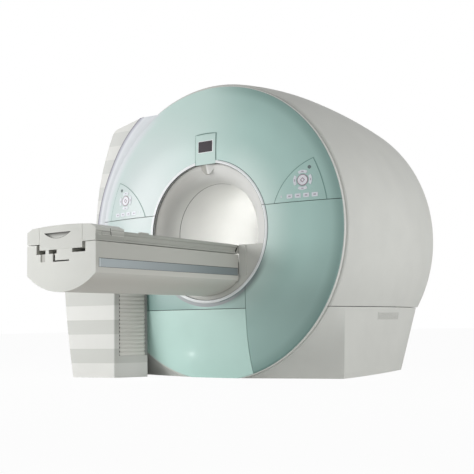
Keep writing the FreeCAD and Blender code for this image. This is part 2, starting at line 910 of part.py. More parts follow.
grille_y = float(s.grille_start + s.grille_length * 0.5)
grille_z = float(s.grille_low + s.grille_height * 0.5)
half_long, half_high = s.grille_length * 0.5, s.grille_height * 0.5
along = Vector(wall_x(grille_y + float(half_long), grille_z) - wall_x(grille_y - float(half_long), grille_z),
               float(s.grille_length), 0)
upward = Vector(wall_x(grille_y, grille_z + float(half_high)) - wall_x(grille_y, grille_z - float(half_high)),
                0, float(s.grille_height))
grille_frame = Placement(Vector(wall_x(grille_y, grille_z), grille_y, grille_z),
                         Rotation(along.cross(upward), along, upward, "XYZ"))


def grille_box(name, grow, depth):
    return box(name, (-s.grille_depth - depth, -half_long - grow, -half_high - grow),
               (depth, half_long + grow, half_high + grow), grille_frame)


skirts = cut("skirts", skirt_outer, skirt_void, front_hole, body_hole,
             grille_box("grille_hole", s.seat_gap, s.grille_depth))
for side, way in SIDES:
    node(f"skirt_{side}", common(f"skirt_{side}", skirts, half_space(
        f"skirt_region_{side}", way, FLOOR, s.skirt_top)))

grille_rim = cut("grille_rim",
                 box("grille_blank", (-s.grille_depth, -half_long, -half_high),
                     (-s.slat_wall, half_long, half_high), grille_frame),
                 grille_box("grille_window", -s.grille_edge, s.grille_depth))
slats = []
slat_pitch = (s.grille_height - 2 * s.grille_edge) / (SLATS + 1)
for number in range(1, SLATS + 1):
    level = -half_high + s.grille_edge + slat_pitch * number
    slats.append(box(f"slat_{number}",
                     (-s.grille_depth, -half_long + s.grille_edge, level - s.slat_wall * 0.5),
                     (-s.slat_wall * 2, half_long - s.grille_edge, level + s.slat_wall * 0.5), grille_frame))
node("vent_grille", fuse("vent_grille", grille_rim, *slats))

# ------------------------------------------------------------------ left rim cover
ear_inner = s.front_radius + s.seam
ear_outer = ear_inner + s.ear_width
ear_ring = turned("ear_ring", [
    (-s.ear_proud, ear_inner),
    (-s.ear_proud, ear_outer - s.ear_proud, s.ear_proud, "right"),
    (FLOOR, ear_outer),
    (front_back, ear_outer),
    (front_back, ear_inner),
])
node("left_rim_cover", common("left_rim_cover", ear_ring, box(
    "ear_region", (-FAR, -FAR, s.ear_low), (FLOOR, FAR, rim_top - s.ear_drop))))

# ------------------------------------------------------------------ column side cover
side_bulge = bulge_radius(s.widest_height, column_widest - column_foot)
wing_shoulder = rim_top - s.wing_shoulder_drop
wing_shoulder_x = s.front_radius - s.wing_shoulder_inset
wing_end_x = s.front_radius - s.wing_end_inset
top_bulge = bulge_radius(wing_shoulder - s.widest_height, column_widest - wing_shoulder_x)
wing_front = s.lip_depth + s.seat_gap


def wing_outline(end_x, foot):
    return [
        (-column_foot, foot, side_bulge, "right"),
        (-column_widest, s.widest_height, top_bulge, "right"),
        (-wing_shoulder_x, wing_shoulder, s.wing_corner, "right"),
        (s.wing_corner_inset - s.front_radius, rim_top - s.wing_corner_drop),
        (-end_x, rim_top - s.wing_drop),
        (-end_x, s.axis_height),
        (-lip_inner + s.seam, foot),
    ]


wing_blank = padded("wing_blank", wing_outline(wing_end_x, FLOOR), s.wing_depth, (0, wing_front, 0))
wing_void = padded("wing_void", wing_outline(wing_end_x + 2 * s.column_wall, FLOOR),
                   s.wing_depth - 2 * s.column_wall,
                   (s.column_wall, wing_front + s.column_wall, -s.column_wall))
body_room = turned("body_room", [
    (FLOOR, FLOOR),
    (FLOOR, body_front + s.seat_gap),
    (s.lip_depth + s.front_round, body_front + s.seat_gap, front_bulge, "right"),
    (s.widest_at, body_widest + s.seat_gap),
    (s.widest_at, FLOOR),
])
skirt_room = box("skirt_room", (-skirt_half - s.seam, FLOOR, FLOOR),
                 (FLOOR, FAR, s.skirt_top + half_seam))
node("column_side_cover", cut("column_side_cover", wing_blank, wing_void, body_room, skirt_room))


# ------------------------------------------------------------------ lift column
def column_edge(height):
    """The column's outer edge, left of the bore axis, at a height."""
    fall = float(s.widest_height) - height
    return float(column_widest - side_bulge) + math.sqrt(float(side_bulge) ** 2 - fall ** 2)


face_front = Vector(-float(s.face_front_x), -float(s.face_front_y), 0)
face_back = Vector(-float(s.face_back_x), -float(s.column_back), 0)
face_along = (face_back - face_front).normalize()
face_out = Vector(face_along.y, -face_along.x, 0)
face_frame = Placement(face_front, Rotation(face_along, -face_out, Vector(0, 0, 1), "XYZ"))
flange_back = float(s.lip_depth)


def column_plan(height, front_y, face_a, face_b, flange):
    """The column's plan: front, slanted face, back, and the strip beside the round front."""
    edge = -column_edge(height)
    back = -float(s.column_back)
    return [
        Vector(edge, -float(front_y), 0),
        face_a,
        face_b,
        Vector(edge + flange, back, 0),
        Vector(edge + flange, flange_back, 0),
        Vector(edge, flange_back, 0),
    ]


def flange_at(height):
    straight, top = float(s.flange_straight), float(s.column_top)
    share = min(max((height - straight) / (top - straight), 0), 1)
    return float(s.column_flange) + (float(s.flange_top) - float(s.column_flange)) * share


column_plans = []
for number in range(COLUMN_STEPS + 1):
    height = float(s.column_top) * number / COLUMN_STEPS
    column_plans.append((height, column_plan(height, s.column_front, face_front, face_back,
                                             flange_at(height))))
for rise, front_y, front_x, back_x, back_y in (
        (s.shoulder_low_up, s.shoulder_low_front, s.shoulder_low_front_x,
         s.shoulder_low_back_x, s.shoulder_low_back),
        (s.shoulder_high_up, s.shoulder_high_front, s.shoulder_high_front_x,
         s.shoulder_high_back_x, s.shoulder_high_back)):
    height = float(s.column_top + rise)
    column_plans.append((height, column_plan(
        height, front_y, Vector(-float(front_x), -float(back_y), 0),
        Vector(-float(back_x), -float(s.column_back), 0), float(s.flange_top))))


def column_block(inset, foot, head):
    wires = []
    for number, (height, points) in enumerate(column_plans):
        level = height + foot if number == 0 else height
        if number == len(column_plans) - 1:
            level += head
        inner = moved_in(points, inset) if inset else points
        wires.append(ring_of([Vector(point.x, point.y, level) for point in inner]))
    return loft(*wires)


column_wall = float(s.column_wall)
column_blank = shaped("column_blank", column_block(0, 0, 0))
column_void = shaped("column_void", column_block(column_wall, -column_wall, -column_wall))
slot_hole = box("slot_hole", (s.slot_start, -s.column_wall, s.slot_low),
                (s.slot_start + s.slot_width, 2 * s.column_wall, s.slot_high), face_frame)
node("column_cover", cut("column_cover", column_blank, column_void, slot_hole))

# base plate, held down by four anchors
front_corner = Vector(-float(column_foot), -float(s.column_front), 0)
back_corner = Vector(-float(column_foot), -float(s.column_back), 0)
plate_points = moved_in([front_corner, face_front, face_back, back_corner],
                        float(s.column_wall + s.plate_gap))
plate_face = Part.Face(ring_of(plate_points))
base_blank = shaped("base_blank", plate_face.extrude(Vector(0, 0, float(s.base_wall))))
anchors = []
for number_x in range(2):
    for number_y in range(2):
        anchors.append(cylinder(
            f"anchor_{number_x}_{number_y}", s.anchor_radius, 2 * s.base_wall,
            (-s.anchor_first_x + s.anchor_pitch_x * number_x,
             -s.anchor_first_y + s.anchor_pitch_y * number_y, -s.anchor_radius)))
node("column_base_plate", cut("column_base_plate", base_blank, fuse("anchor_holes", *anchors)))

# mast, rails and screw
mast_back = -s.column_back - s.column_wall - s.mast_gap
mast_front = mast_back - s.mast_wall
bracket_left, bracket_right = -s.carriage_left, -s.carriage_right
node("lift_mast", fuse(
    "lift_mast",
    box("mast_plate", (-s.mast_left, mast_front, s.base_wall), (-s.mast_right, mast_back, s.mast_top)),
    box("mast_foot", (bracket_left, -s.carriage_front, s.base_wall),
        (bracket_right, mast_front, s.base_wall + s.bracket_height)),
    box("mast_head", (bracket_left, -s.carriage_front, s.mast_top - s.bracket_height),
        (bracket_right, mast_front, s.mast_top))))
rail_low = s.base_wall + s.bracket_height
rail_length = s.mast_top - s.bracket_height - rail_low
rail_x = {"left": -s.screw_at - s.rail_pitch, "right": -s.screw_at + s.rail_pitch}
node("guide_rails", fuse("guide_rails", *(
    cylinder(f"rail_{side}", s.rail_radius, rail_length, (rail_x[side], -s.rail_at, rail_low))
    for side in rail_x)))
node("lead_screw", cylinder("lead_screw", s.screw_radius, rail_length,
                            (-s.screw_at, -s.rail_at, rail_low)))

# carriage with the diagonal arm, and the motor that turns its nut
arm_middle = s.slot_start + s.slot_width * 0.5
arm_high = s.arm_low + s.arm_height
arm_full = box("arm_full", (arm_middle - s.arm_half, -FAR, s.arm_low),
               (arm_middle + s.arm_half, s.arm_root, arm_high), face_frame)
arm = cut("arm", arm_full,
          box("arm_end", (-s.table_half, -FAR, FLOOR), (FAR, FAR, FAR)),
          box("arm_back", (-FAR, -s.carriage_back, FLOOR), (FAR, FAR, FAR)))
carriage_block = box("carriage_block", (bracket_left, -s.carriage_front, s.carriage_low),
                     (bracket_right, -s.carriage_back, s.carriage_low + s.carriage_height))


def lift_bores(name, low, height, places):
    """Holes for the rails and the screw, with running clearance."""
    return fuse(name, *(
        cylinder(f"{name}_{number}", radius + s.seat_gap, height, (x, -s.rail_at, low))
        for number, (x, radius) in enumerate(places)))


lift_places = [(rail_x["left"], s.rail_radius), (rail_x["right"], s.rail_radius),
               (-s.screw_at, s.screw_radius)]
node("lift_carriage", cut("lift_carriage", fuse("carriage_blank", carriage_block, arm),
                          lift_bores("carriage_bores", s.carriage_low, s.carriage_height, lift_places)))
gearbox_low = s.carriage_low - s.gearbox_height
node("lift_gearmotor", cut(
    "lift_gearmotor",
    fuse("gearmotor_blank",
         box("gearbox", (-s.motor_at - s.gearbox_half, -s.rail_at - s.gearbox_half, gearbox_low),
             (-s.screw_at + s.rail_pitch - s.rail_radius - s.seam, -s.rail_at + s.gearbox_half,
              s.carriage_low)),
         cylinder("motor", s.motor_radius, s.motor_length,
                  (-s.motor_at, -s.rail_at, gearbox_low - s.motor_length))),
    lift_bores("gearbox_bores", gearbox_low, s.gearbox_height, [lift_places[0], lift_places[2]])))


# bellows: pleats between the slot's ends and the arm
def bellows(name, low, high, pleats):
    inner_x = float(s.slot_start + s.bellows_gap)
    outer_x = float(s.slot_start + s.slot_width - s.bellows_gap)
    front, back = -float(s.bellows_proud), float(s.bellows_depth - s.bellows_proud)
    fold = float(s.fold_depth)
    wires = []
    for number in range(2 * pleats + 1):
        level = low + (high - low) * number / (2 * pleats)
        inset = 0 if number % 2 else fold
        wires.append(ring_of([
            Vector(inner_x + inset, front + inset, level), Vector(outer_x - inset, front + inset, level),
            Vector(outer_x - inset, back - inset, level), Vector(inner_x + inset, back - inset, level)]))
    thing = shaped(name, loft(*wires))
    thing.Placement = face_frame
    return node(name, thing)


seat = float(s.seat_gap)
bellows("lower_bellows", float(s.slot_low) + seat, float(s.arm_low) - seat,
        round(float((s.arm_low - s.slot_low) / s.bellows_pitch)))
bellows("upper_bellows", float(arm_high) + seat, float(s.slot_high) - seat,
        round(float((s.slot_high - arm_high) / s.packed_pitch)))

# ------------------------------------------------------------------ patient table
chassis_belly = bulge_radius(s.facet_half, s.facet_low - s.belly_low)
channel_half = s.keel_half + s.channel_gap
strip_top = s.keel_low - s.slide_gap
near, far = -s.table_near, -s.table_far
chassis_length = s.table_near - s.table_far
chassis_blank = padded("chassis_blank", mirrored([
    (channel_half, s.channel_low),
    (channel_half, s.chassis_top),
    (s.table_half, s.chassis_top),
    (s.table_half, s.side_low),
    (s.facet_half, s.facet_low, chassis_belly, "right"),
]), chassis_length, (0, near, 0))
wall = s.chassis_wall
chassis_void = padded("chassis_void", mirrored([
    (s.table_half - wall, s.channel_low - wall),
    (s.table_half - wall, s.side_low + wall * 0.5),
    (s.facet_half - wall * 0.5, s.facet_low + wall, chassis_belly - wall, "right"),
]), chassis_length, (0, near + wall, 0))
stripe_high = s.stripe_low + s.stripe_height
stripe_end = far - s.seam


def beside(name, way, inner, outer, low, high):
    """A box at one side of the table, between two distances from its middle."""
    edges = sorted((inner * way, outer * way), key=float)
    return box(name, (edges[0], low[0], low[1]), (edges[1], high[0], high[1]))


def wear_strips(name, start, end):
    return [
        box(f"{name}_narrow", (-s.narrow_strip - s.narrow_width, start, s.channel_low),
            (-s.narrow_strip, end, strip_top)),
        box(f"{name}_wide", (-s.wide_strip_left, start, s.channel_low),
            (s.wide_strip_right, end, strip_top)),
    ]


backings = []
openings = []
rails = []
for side, way in SIDES:
    backings.append(beside(f"rail_backing_{side}", way, s.table_half - 2 * wall, s.table_half - wall * 0.5,
                           (near + wall, s.stripe_low - wall), (far, stripe_high + wall)))
    openings.append(beside(f"groove_{side}", way, s.table_half - s.stripe_depth, s.table_half + s.seam,
                           (near + s.stripe_inset, s.stripe_low), (stripe_end, stripe_high)))
    rails.append(beside(f"side_rail_{side}", way, s.table_half - s.stripe_depth + s.seat_gap,
                        s.table_half - s.stripe_recess,
                        (near + s.stripe_inset + s.seat_gap, s.stripe_low + s.seat_gap),
                        (stripe_end - s.seat_gap, stripe_high - s.seat_gap)))
hook_back = near + wall + s.seam
openings += [
    box("hook_upright", (-s.hook_left, near - s.seam, s.hook_low),
        (-s.hook_left + s.hook_width, hook_back, s.channel_low + s.seam)),
    box("hook_foot", (-s.hook_left, near - s.seam, s.hook_low),
        (s.hook_right, hook_back, s.hook_low + s.hook_height)),
    box("end_recess", (-s.recess_left, near - s.seam, s.recess_low),
        (-s.recess_right, near + s.recess_depth, s.channel_low + s.seam)),
]
chassis_hollow = cut("chassis_hollow", chassis_blank, chassis_void)
chassis_shell = cut("chassis_shell", fuse("chassis_backed", chassis_hollow, *backings), *openings)
node("table_chassis", fuse("table_chassis", chassis_shell, *wear_strips("strip", near, far)))
node("side_rails", fuse("side_rails", *rails))

dish_radius = bulge_radius(s.dish_half, s.dish)
edge_x = s.table_half - s.edge_round
groove_x = s.table_half - s.groove_depth


def keel_outline():
    """The tabletop's right side, from its wing's underside to the keel."""
    return [
        (s.table_half, s.top_under + s.under_round, s.under_round, "right"),
        (s.table_half - s.under_round, s.top_under),
        (s.keel_half, s.top_under),
        (s.keel_half, s.keel_low),
    ]


top_outline = mirrored([
    (s.dish_half, s.top_edge),
    (edge_x, s.top_edge, s.edge_round, "right"),
    (s.table_half, s.top_edge - s.edge_round),
    (s.table_half, s.groove_high),
    (groove_x, s.groove_high - s.groove_depth),
    (groove_x, s.groove_low + s.groove_depth),
    (s.table_half, s.groove_low),
] + keel_outline())
top_outline[-1] = top_outline[-1][:2] + (dish_radius, "left")
cap_back = near + s.cap_length
top_blank = padded("top_blank", top_outline, far - cap_back - s.seat_gap, (0, cap_back + s.seat_gap, 0))
side_frame = Placement(Vector(-float(s.table_half + s.seam), 0, 0),
                       Rotation(Vector(0, 1, 0), Vector(0, 0, 1), Vector(1, 0, 0), "XYZ"))
far_wedge = raised("far_wedge", [
    (far - s.far_lean, s.keel_low - s.seam),
    (far + s.seam, s.keel_low - s.seam),
    (far + s.seam, s.top_edge),
    (far, s.top_edge),
    (far - s.far_lean, s.top_under),
], 2 * (s.table_half + s.seam), frame=side_frame)
grip_low = s.top_edge - s.grip_rise
grip_frame = Placement(Vector(float(s.table_half - s.grip_width), 0, 0), side_frame.Rotation)
edge_grip = raised("edge_grip", [
    (-s.grip_start, grip_low),
    (-s.grip_start + s.grip_length, grip_low),
    (-s.grip_start + s.grip_length - 2 * s.grip_rise, s.top_edge + s.grip_rise),
    (-s.grip_start + 2 * s.grip_rise, s.top_edge + s.grip_rise),
], s.grip_width - s.seam, frame=grip_frame)
node("tabletop", fuse("tabletop", cut("top_leaned", top_blank, far_wedge), edge_grip))

crown_radius = bulge_radius(s.cap_crown_half, s.cap_crown - s.cap_shoulder)
cap_outline = mirrored([
    (s.cap_crown_half, s.cap_shoulder),
    (s.table_half, s.cap_edge),
] + keel_outline())
cap_outline[-1] = cap_outline[-1][:2] + (crown_radius, "right")
cap_blank = padded("cap_blank", cap_outline, s.cap_length, (0, near, 0))
handle_radius = bulge_radius(s.handle_half, s.handle_drop)
handle = padded("handle", [
    (-s.handle_at - s.handle_half, s.handle_top, handle_radius, "left"),
    (-s.handle_at + s.handle_half, s.handle_top),
], s.handle_depth + s.seam, (0, near - s.seam, 0))
cap_lines = []
for side, way in SIDES:
    cap_lines.append(beside(f"cap_line_front_{side}", way, s.keel_half, s.keel_half + s.line,
                            (near - s.seam, s.top_under), (near + s.line_depth, s.cap_crown + s.seam)))
    cap_lines.append(beside(f"cap_line_side_{side}", way, s.table_half - s.line_depth, s.table_half + s.seam,
                            (-s.cap_line_at, s.cap_line_low), (-s.cap_line_at + s.line, s.cap_crown)))
    cap_lines.append(beside(f"cap_line_long_{side}", way, s.table_half - s.line_depth, s.table_half + s.seam,
                            (near + 2 * s.edge_round, s.cap_line_low), (cap_back, s.cap_line_low + s.line)))
node("end_cap", cut("end_cap", cap_blank, handle, *cap_lines))

# bridge that carries the tabletop in the bore, and the plate before it at the bore's mouth
bridge_round = s.bore_radius - s.seat_gap
bridge_low = s.axis_height - leg(bridge_round, s.bridge_half)
bridge = padded("bridge", mirrored([
    (s.bridge_half, s.channel_low),
    (s.bridge_half, bridge_low, bridge_round, "right"),
]), bridge_end + s.bridge_front, (0, -s.bridge_front, 0))
cheek_inner = s.table_half + s.cheek_gap
cheek_outer = cheek_inner + s.cheek_width
cheek_end = s.cheek_depth - s.bridge_front
docking_segment = common(
    "docking_segment",
    cylinder("docking_disc", ring_inner - s.plate_gap, s.docking_wall,
             (0, -s.bridge_front, s.axis_height), "y"),
    box("docking_region", (-s.front_radius, -FAR, FLOOR), (s.front_radius, FAR, s.top_edge)))
docking_plate = cut("docking_plate", docking_segment, box(
    "docking_pass", (-cheek_inner, -FAR, s.channel_low), (cheek_inner, FAR, FAR)))
bridge_pieces = [bridge, docking_plate] + wear_strips("bridge_strip", -s.bridge_front, bridge_end)
for side, way in SIDES:
    bridge_pieces += [
        beside(f"cheek_{side}", way, cheek_inner, cheek_outer,
               (-s.bridge_front, s.cheek_low), (cheek_end, s.top_edge)),
        beside(f"docking_block_{side}", way, cheek_inner, s.docking_outer,
               (-s.bridge_front - s.docking_proud, s.docking_low), (-s.bridge_front, s.top_edge)),
    ]
node("bore_bridge", fuse("bore_bridge", *bridge_pieces))

# ------------------------------------------------------------------ display and light housing
before_front = turned("before_front", [
    (-FAR, FLOOR),
    (-FAR, s.front_radius),
    (dome_y(s.front_radius) - s.seat_gap, s.front_radius, s.dome_radius + s.seat_gap, "left"),
    (-dome_depth - s.seat_gap, s.dome_inner),
    (-dome_depth - s.seat_gap, ring_outer),
    (ring_front - s.seat_gap, ring_outer),
    (ring_front - s.seat_gap, ring_inner - s.seam),
    (ring_front - s.seat_gap, FLOOR),
])
tongue_front = ring_front - s.tongue_proud
tongue_blank = padded("tongue_blank", rounded(
    -s.tongue_half, s.tongue_low, s.tongue_half, s.tongue_top, s.tongue_round),
    dome_depth, (0, tongue_front, s.axis_height))
screen_outline = rounded(-s.screen_half, s.screen_low, s.screen_half, s.screen_high, s.seam)
screen_pocket = padded("screen_pocket", screen_outline, dome_depth,
                       (0, tongue_front - dome_depth + s.screen_depth, s.axis_height))
node("display_housing", cut("display_housing", common("tongue_seated", tongue_blank, before_front),
                            screen_pocket))
node("display_screen", padded("display_screen", rounded(
    -s.screen_half + s.seat_gap, s.screen_low + s.seat_gap, s.screen_half - s.seat_gap,
    s.screen_high - s.seat_gap, s.seam), s.screen_depth - s.seat_gap,
    (0, tongue_front, s.axis_height)))

# light housing: a keeled nose that runs from the display's foot into the funnel
before_funnel = turned("before_funnel", [
    (-FAR, FLOOR),
    (-FAR, s.tongue_low),
    (-s.flare_start, mouth_radius - s.seat_gap, s.flare + s.seat_gap, "left"),
    (liner_start, s.bore_radius - s.seat_gap),
    (liner_start, FLOOR),
])
nose_top = float(s.axis_height + s.tongue_low - s.seat_gap)


def nose_wire(y, half, drop):
    return ring_of([Vector(-float(half), float(y), nose_top), Vector(0, float(y), nose_top - float(drop)),
                    Vector(float(half), float(y), nose_top)])


nose = shaped("nose", loft(nose_wire(tongue_front, s.nose_half, s.nose_edge),
                           nose_wire(tongue_front + s.nose_reach, s.nose_tip_half, s.nose_fall)))
window_y = tongue_front + s.nose_reach * WINDOW_SHARE
window_low = s.axis_height + s.tongue_low - s.window_inset - s.window_length
housing_room = common("housing_room", nose, before_funnel)
node("light_window", common("light_window", housing_room, cylinder(
    "window_lens", s.window_radius, s.window_length, (0, window_y, window_low))))
node("light_housing", cut("light_housing", housing_room, cylinder(
    "window_hole", s.window_radius + s.seat_gap, s.window_length + s.seat_gap, (0, window_y, window_low))))

# ------------------------------------------------------------------ control panels
def panel_outline(way, grow):
    """The panel seen from the front, heights above the bore axis."""
    corner_shift, apex_shift = OUTLINE_SHIFTS
    outer = s.front_radius - s.panel_margin + grow
    low = s.upper_seam + half_seam - grow
    inner_x = s.front_radius - s.panel_inner_inset - grow * corner_shift
    apex_up = s.panel_apex_up + grow * apex_shift
    turn = "right" if way > 0 else "left"
    return [
        (inner_x * way, low, s.panel_curve + grow, turn),
        (leg(outer, apex_up) * way, apex_up, outer, turn),
        (leg(outer, low) * way, low),
    ]


def dome_frame(x, up):
    """A local frame on the round front: x across, y up along the surface, z outward."""
    reach = math.hypot(float(x), float(up))
    tilt = (reach - float(s.dome_inner)) / float(s.dome_radius)
    radial = Vector(float(x), 0, float(up)) * (1 / reach)
    outward = radial * tilt + Vector(0, -math.sqrt(1 - tilt ** 2), 0)
    across = Vector(0, 0, 1).cross(outward).normalize()
    at = Vector(float(x), float(dome_y(Size(reach, repr(reach)))), float(s.axis_height) + float(up))
    return Placement(at, Rotation(across, outward.cross(across), outward, "XYZ"))


def arc_key_outline(middle, grow):
    inner, outer = s.arc_key_inner - grow, s.arc_key_outer + grow
    spread = math.radians(ARC_KEY_SPREAD) + float(grow) / float(s.arc_key_inner)
    first, last = math.radians(middle) - spread, math.radians(middle) + spread
    return [
        (outer * math.cos(first), outer * math.sin(first), outer, "left"),
        (outer * math.cos(last), outer * math.sin(last)),
        (inner * math.cos(last), inner * math.sin(last), inner, "right"),
        (inner * math.cos(first), inner * math.sin(first)),
    ]


def row_key_outline(grow):
    return rounded(-s.row_key_half - grow, -s.row_key_half_up - grow,
                   s.row_key_half + grow, s.row_key_half_up + grow, s.key_round + grow)


key_height = s.key_proud + s.key_depth
pocket_low = -s.key_depth - s.key_travel - s.seat_gap
pocket_height = s.panel_depth * 2
cover_pockets = []
lamps = []
for side, way in SIDES:
    pocket = common(f"panel_pocket_{side}",
                    dome_slice(f"pocket_layer_{side}", s.panel_depth, s.panel_depth + s.seat_gap),
                    padded(f"pocket_outline_{side}", panel_outline(way, s.panel_gap),
                           4 * dome_depth, (0, -2 * dome_depth, s.axis_height)))
    cover_pockets.append(pocket)
    panel = common(f"panel_blank_{side}",
                   dome_slice(f"panel_layer_{side}", s.panel_proud, s.panel_depth),
                   padded(f"panel_outline_{side}", panel_outline(way, 0),
                          4 * dome_depth, (0, -2 * dome_depth, s.axis_height)))
    rocker_frame = dome_frame((s.front_radius - s.rocker_inset) * way, s.rocker_up)
    diagonal = rocker_frame * Placement(Vector(), Rotation(Vector(0, 0, 1), ROCKER_TURN * way))
    disc = cylinder(f"rocker_disc_{side}", s.rocker_radius, key_height, (0, 0, -s.key_depth),
                    frame=rocker_frame)
    split = box(f"rocker_groove_{side}", (-s.rocker_radius * 2, -s.rocker_split * 0.5, s.key_proud * 0.5),
                (s.rocker_radius * 2, s.rocker_split * 0.5, s.key_proud * 2), diagonal)
    pip = cylinder(f"rocker_pip_{side}", s.rocker_split * 2, s.key_proud, frame=rocker_frame)
    pivot_half = s.rocker_radius + s.rocker_gap + s.pivot_reach
    pivot = cylinder(f"rocker_pivot_{side}", s.pivot_radius, pivot_half * 2,
                     (-pivot_half, 0, -s.pivot_depth), "x", diagonal)
    name = f"rocker_{side}"
    node(name, fuse(name, cut(f"rocker_split_{side}", disc, split), pip, pivot))
    bearing_half = pivot_half + s.seat_gap
    holes = [
        cylinder(f"rocker_pocket_{side}", s.rocker_radius + s.rocker_gap, pocket_height,
                 (0, 0, pocket_low), frame=rocker_frame),
        cylinder(f"rocker_bearing_{side}", s.pivot_radius + s.seat_gap, bearing_half * 2,
                 (-bearing_half, 0, -s.pivot_depth), "x", diagonal),
    ]
    for word, middle in (("outer", 0 if way > 0 else 180), ("upper", 90),
                         ("inner", 180 if way > 0 else 0), ("lower", 270)):
        name = f"arc_key_{word}_{side}"
        node(name, raised(name, arc_key_outline(middle, 0), key_height, (0, 0, -s.key_depth), rocker_frame))
        holes.append(raised(f"{name}_pocket", arc_key_outline(middle, s.key_gap), pocket_height,
                            (0, 0, pocket_low), rocker_frame))
    for number in range(ROW_KEYS):
        name = f"row_key_{number + 1}_{side}"
        key_x = s.front_radius - s.row_key_inset + s.row_key_pitch * number
        frame = dome_frame(key_x * way, s.row_key_up)
        node(name, raised(name, row_key_outline(0), key_height, (0, 0, -s.key_depth), frame))
        holes.append(raised(f"{name}_pocket", row_key_outline(s.key_gap), pocket_height,
                            (0, 0, pocket_low), frame))
    lamp_frame = dome_frame((s.front_radius - s.lamp_inset) * way, s.lamp_up)
    lamps.append(cylinder(f"lamp_{side}", s.lamp_radius, s.key_depth + s.lamp_proud,
                          (0, 0, -s.key_depth), frame=lamp_frame))
    holes.append(cylinder(f"lamp_pocket_{side}", s.lamp_radius + s.seat_gap, pocket_height,
                          (0, 0, -s.key_depth - s.seat_gap), frame=lamp_frame))
    node(f"control_panel_{side}", cut(f"control_panel_{side}", panel, fuse(f"holes_{side}", *holes)))
node("status_lamps", fuse("status_lamps", *lamps))
node("front_cover_upper", cut("front_cover_upper", upper_blank, *cover_pockets))

# ------------------------------------------------------------------ check and write
doc.recompute()
for thing in doc.Objects:
    if "Invalid" in thing.State or "Error" in thing.State:
        raise RuntimeError(f"{thing.Label} did not build: {thing.State}")
for name, thing in nodes.items():
    shape = thing.Shape
    if shape.isNull() or not shape.isValid() or not shape.Solids:
        raise RuntimeError(f"{name} has no valid solid")
for name, thing in nodes.items():
    thing.Shape.exportStep(f"parts/{name}.step")
print(len(nodes), "nodes")
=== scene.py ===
import math

import bmesh
import bpy
from mathutils import Matrix, Vector


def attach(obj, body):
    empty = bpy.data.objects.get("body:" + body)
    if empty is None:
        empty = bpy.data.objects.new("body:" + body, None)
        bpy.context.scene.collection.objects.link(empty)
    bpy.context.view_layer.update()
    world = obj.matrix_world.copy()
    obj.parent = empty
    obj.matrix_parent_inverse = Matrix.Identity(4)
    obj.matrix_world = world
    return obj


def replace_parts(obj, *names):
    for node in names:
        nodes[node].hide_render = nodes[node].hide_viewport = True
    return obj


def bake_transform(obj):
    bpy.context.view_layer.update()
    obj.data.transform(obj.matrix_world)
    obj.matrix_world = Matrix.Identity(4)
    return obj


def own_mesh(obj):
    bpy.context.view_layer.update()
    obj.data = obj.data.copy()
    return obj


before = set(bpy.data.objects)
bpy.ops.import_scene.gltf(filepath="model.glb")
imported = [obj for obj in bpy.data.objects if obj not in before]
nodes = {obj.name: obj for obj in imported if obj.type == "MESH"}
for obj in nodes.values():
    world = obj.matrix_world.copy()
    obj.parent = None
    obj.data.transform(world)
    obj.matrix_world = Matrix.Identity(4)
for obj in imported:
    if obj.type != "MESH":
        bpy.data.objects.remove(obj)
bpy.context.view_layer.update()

# Metres, in the part's own frame: the origin is on the floor under the round front's rim, +X is
# right as seen from the front, +Y goes into the bore and +Z is up.
SIDES = (("right", 1), ("left", -1))
AXIS_HEIGHT = 1.005
FRONT_RADIUS = 1.025
DOME_RADIUS = 2.229             # of the round front's bulge
DOME_INNER = 0.495              # where the bulge starts, beside the bore ring
RING_INNER = 0.477
RING_OUTER = 0.4964
RING_FRONT = -0.0692
BORE_RADIUS = 0.350
LINER_START = 0.085
SEAM_UP = 0.144                 # seam over the side covers, above the axis
BAND_PITCH = 0.102              # height of a band on the column
TABLE_HALF = 0.2655
TABLE_NEAR = -1.455
TABLE_FAR = -0.074
SCOOP_CENTRE, SCOOP_RADIUS = (-0.025, 1.0404), 0.1804      # of the end cap's handle
SLOT_CORNER = (-0.6720, -0.2630)        # edge of the column's inner face, seen from above
SLOT_TURN = math.radians(54.92)         # direction of that face
ROCKER_AT = (0.757, 1.288)      # across, and over the floor
ROW_START, ROW_PITCH, ROW_HEIGHT = 0.665, 0.0584, 1.187
EAR_SPREAD = 0.030              # how much wider the left rim cover gets at its top
EAR_WIDENS = (1.45, 1.90)       # heights between which it does
EAR_LOW, EAR_TOP = 0.910, 1.907

# ------------------------------------------------------------------ camera
CAMERA_PLACE = Vector((3.5253, -4.9266, 0.3737))
CAMERA_YAW = math.radians(33.95)
CAMERA_PITCH = math.radians(5.60)
CAMERA_ROLL = math.radians(-0.92)
CAMERA_LENS = 66.3
SENSOR_WIDTH = 36.0


def add_camera():
    forward = Vector((-math.sin(CAMERA_YAW) * math.cos(CAMERA_PITCH),
                      math.cos(CAMERA_YAW) * math.cos(CAMERA_PITCH),
                      math.sin(CAMERA_PITCH)))
    level = Vector((math.cos(CAMERA_YAW), math.sin(CAMERA_YAW), 0))
    upright = level.cross(forward)
    right = level * math.cos(CAMERA_ROLL) + upright * math.sin(CAMERA_ROLL)
    up = upright * math.cos(CAMERA_ROLL) - level * math.sin(CAMERA_ROLL)
    data = bpy.data.cameras.new("camera")
    data.lens = CAMERA_LENS
    data.sensor_width = SENSOR_WIDTH
    data.sensor_fit = "HORIZONTAL"
    camera = bpy.data.objects.new("camera", data)
    turn = Matrix((right, up, -forward)).transposed().to_4x4()
    camera.matrix_world = Matrix.Translation(CAMERA_PLACE) @ turn
    bpy.context.scene.collection.objects.link(camera)
    bpy.context.scene.camera = camera


# ------------------------------------------------------------------ materials
def colour(red, green, blue):
    """A colour as seen on screen, 0 to 255, for a shader."""
    def linear(value):
        share = value / 255
        return share / 12.92 if share <= 0.04045 else ((share + 0.055) / 1.055) ** 2.4
    return (linear(red), linear(green), linear(blue), 1.0)


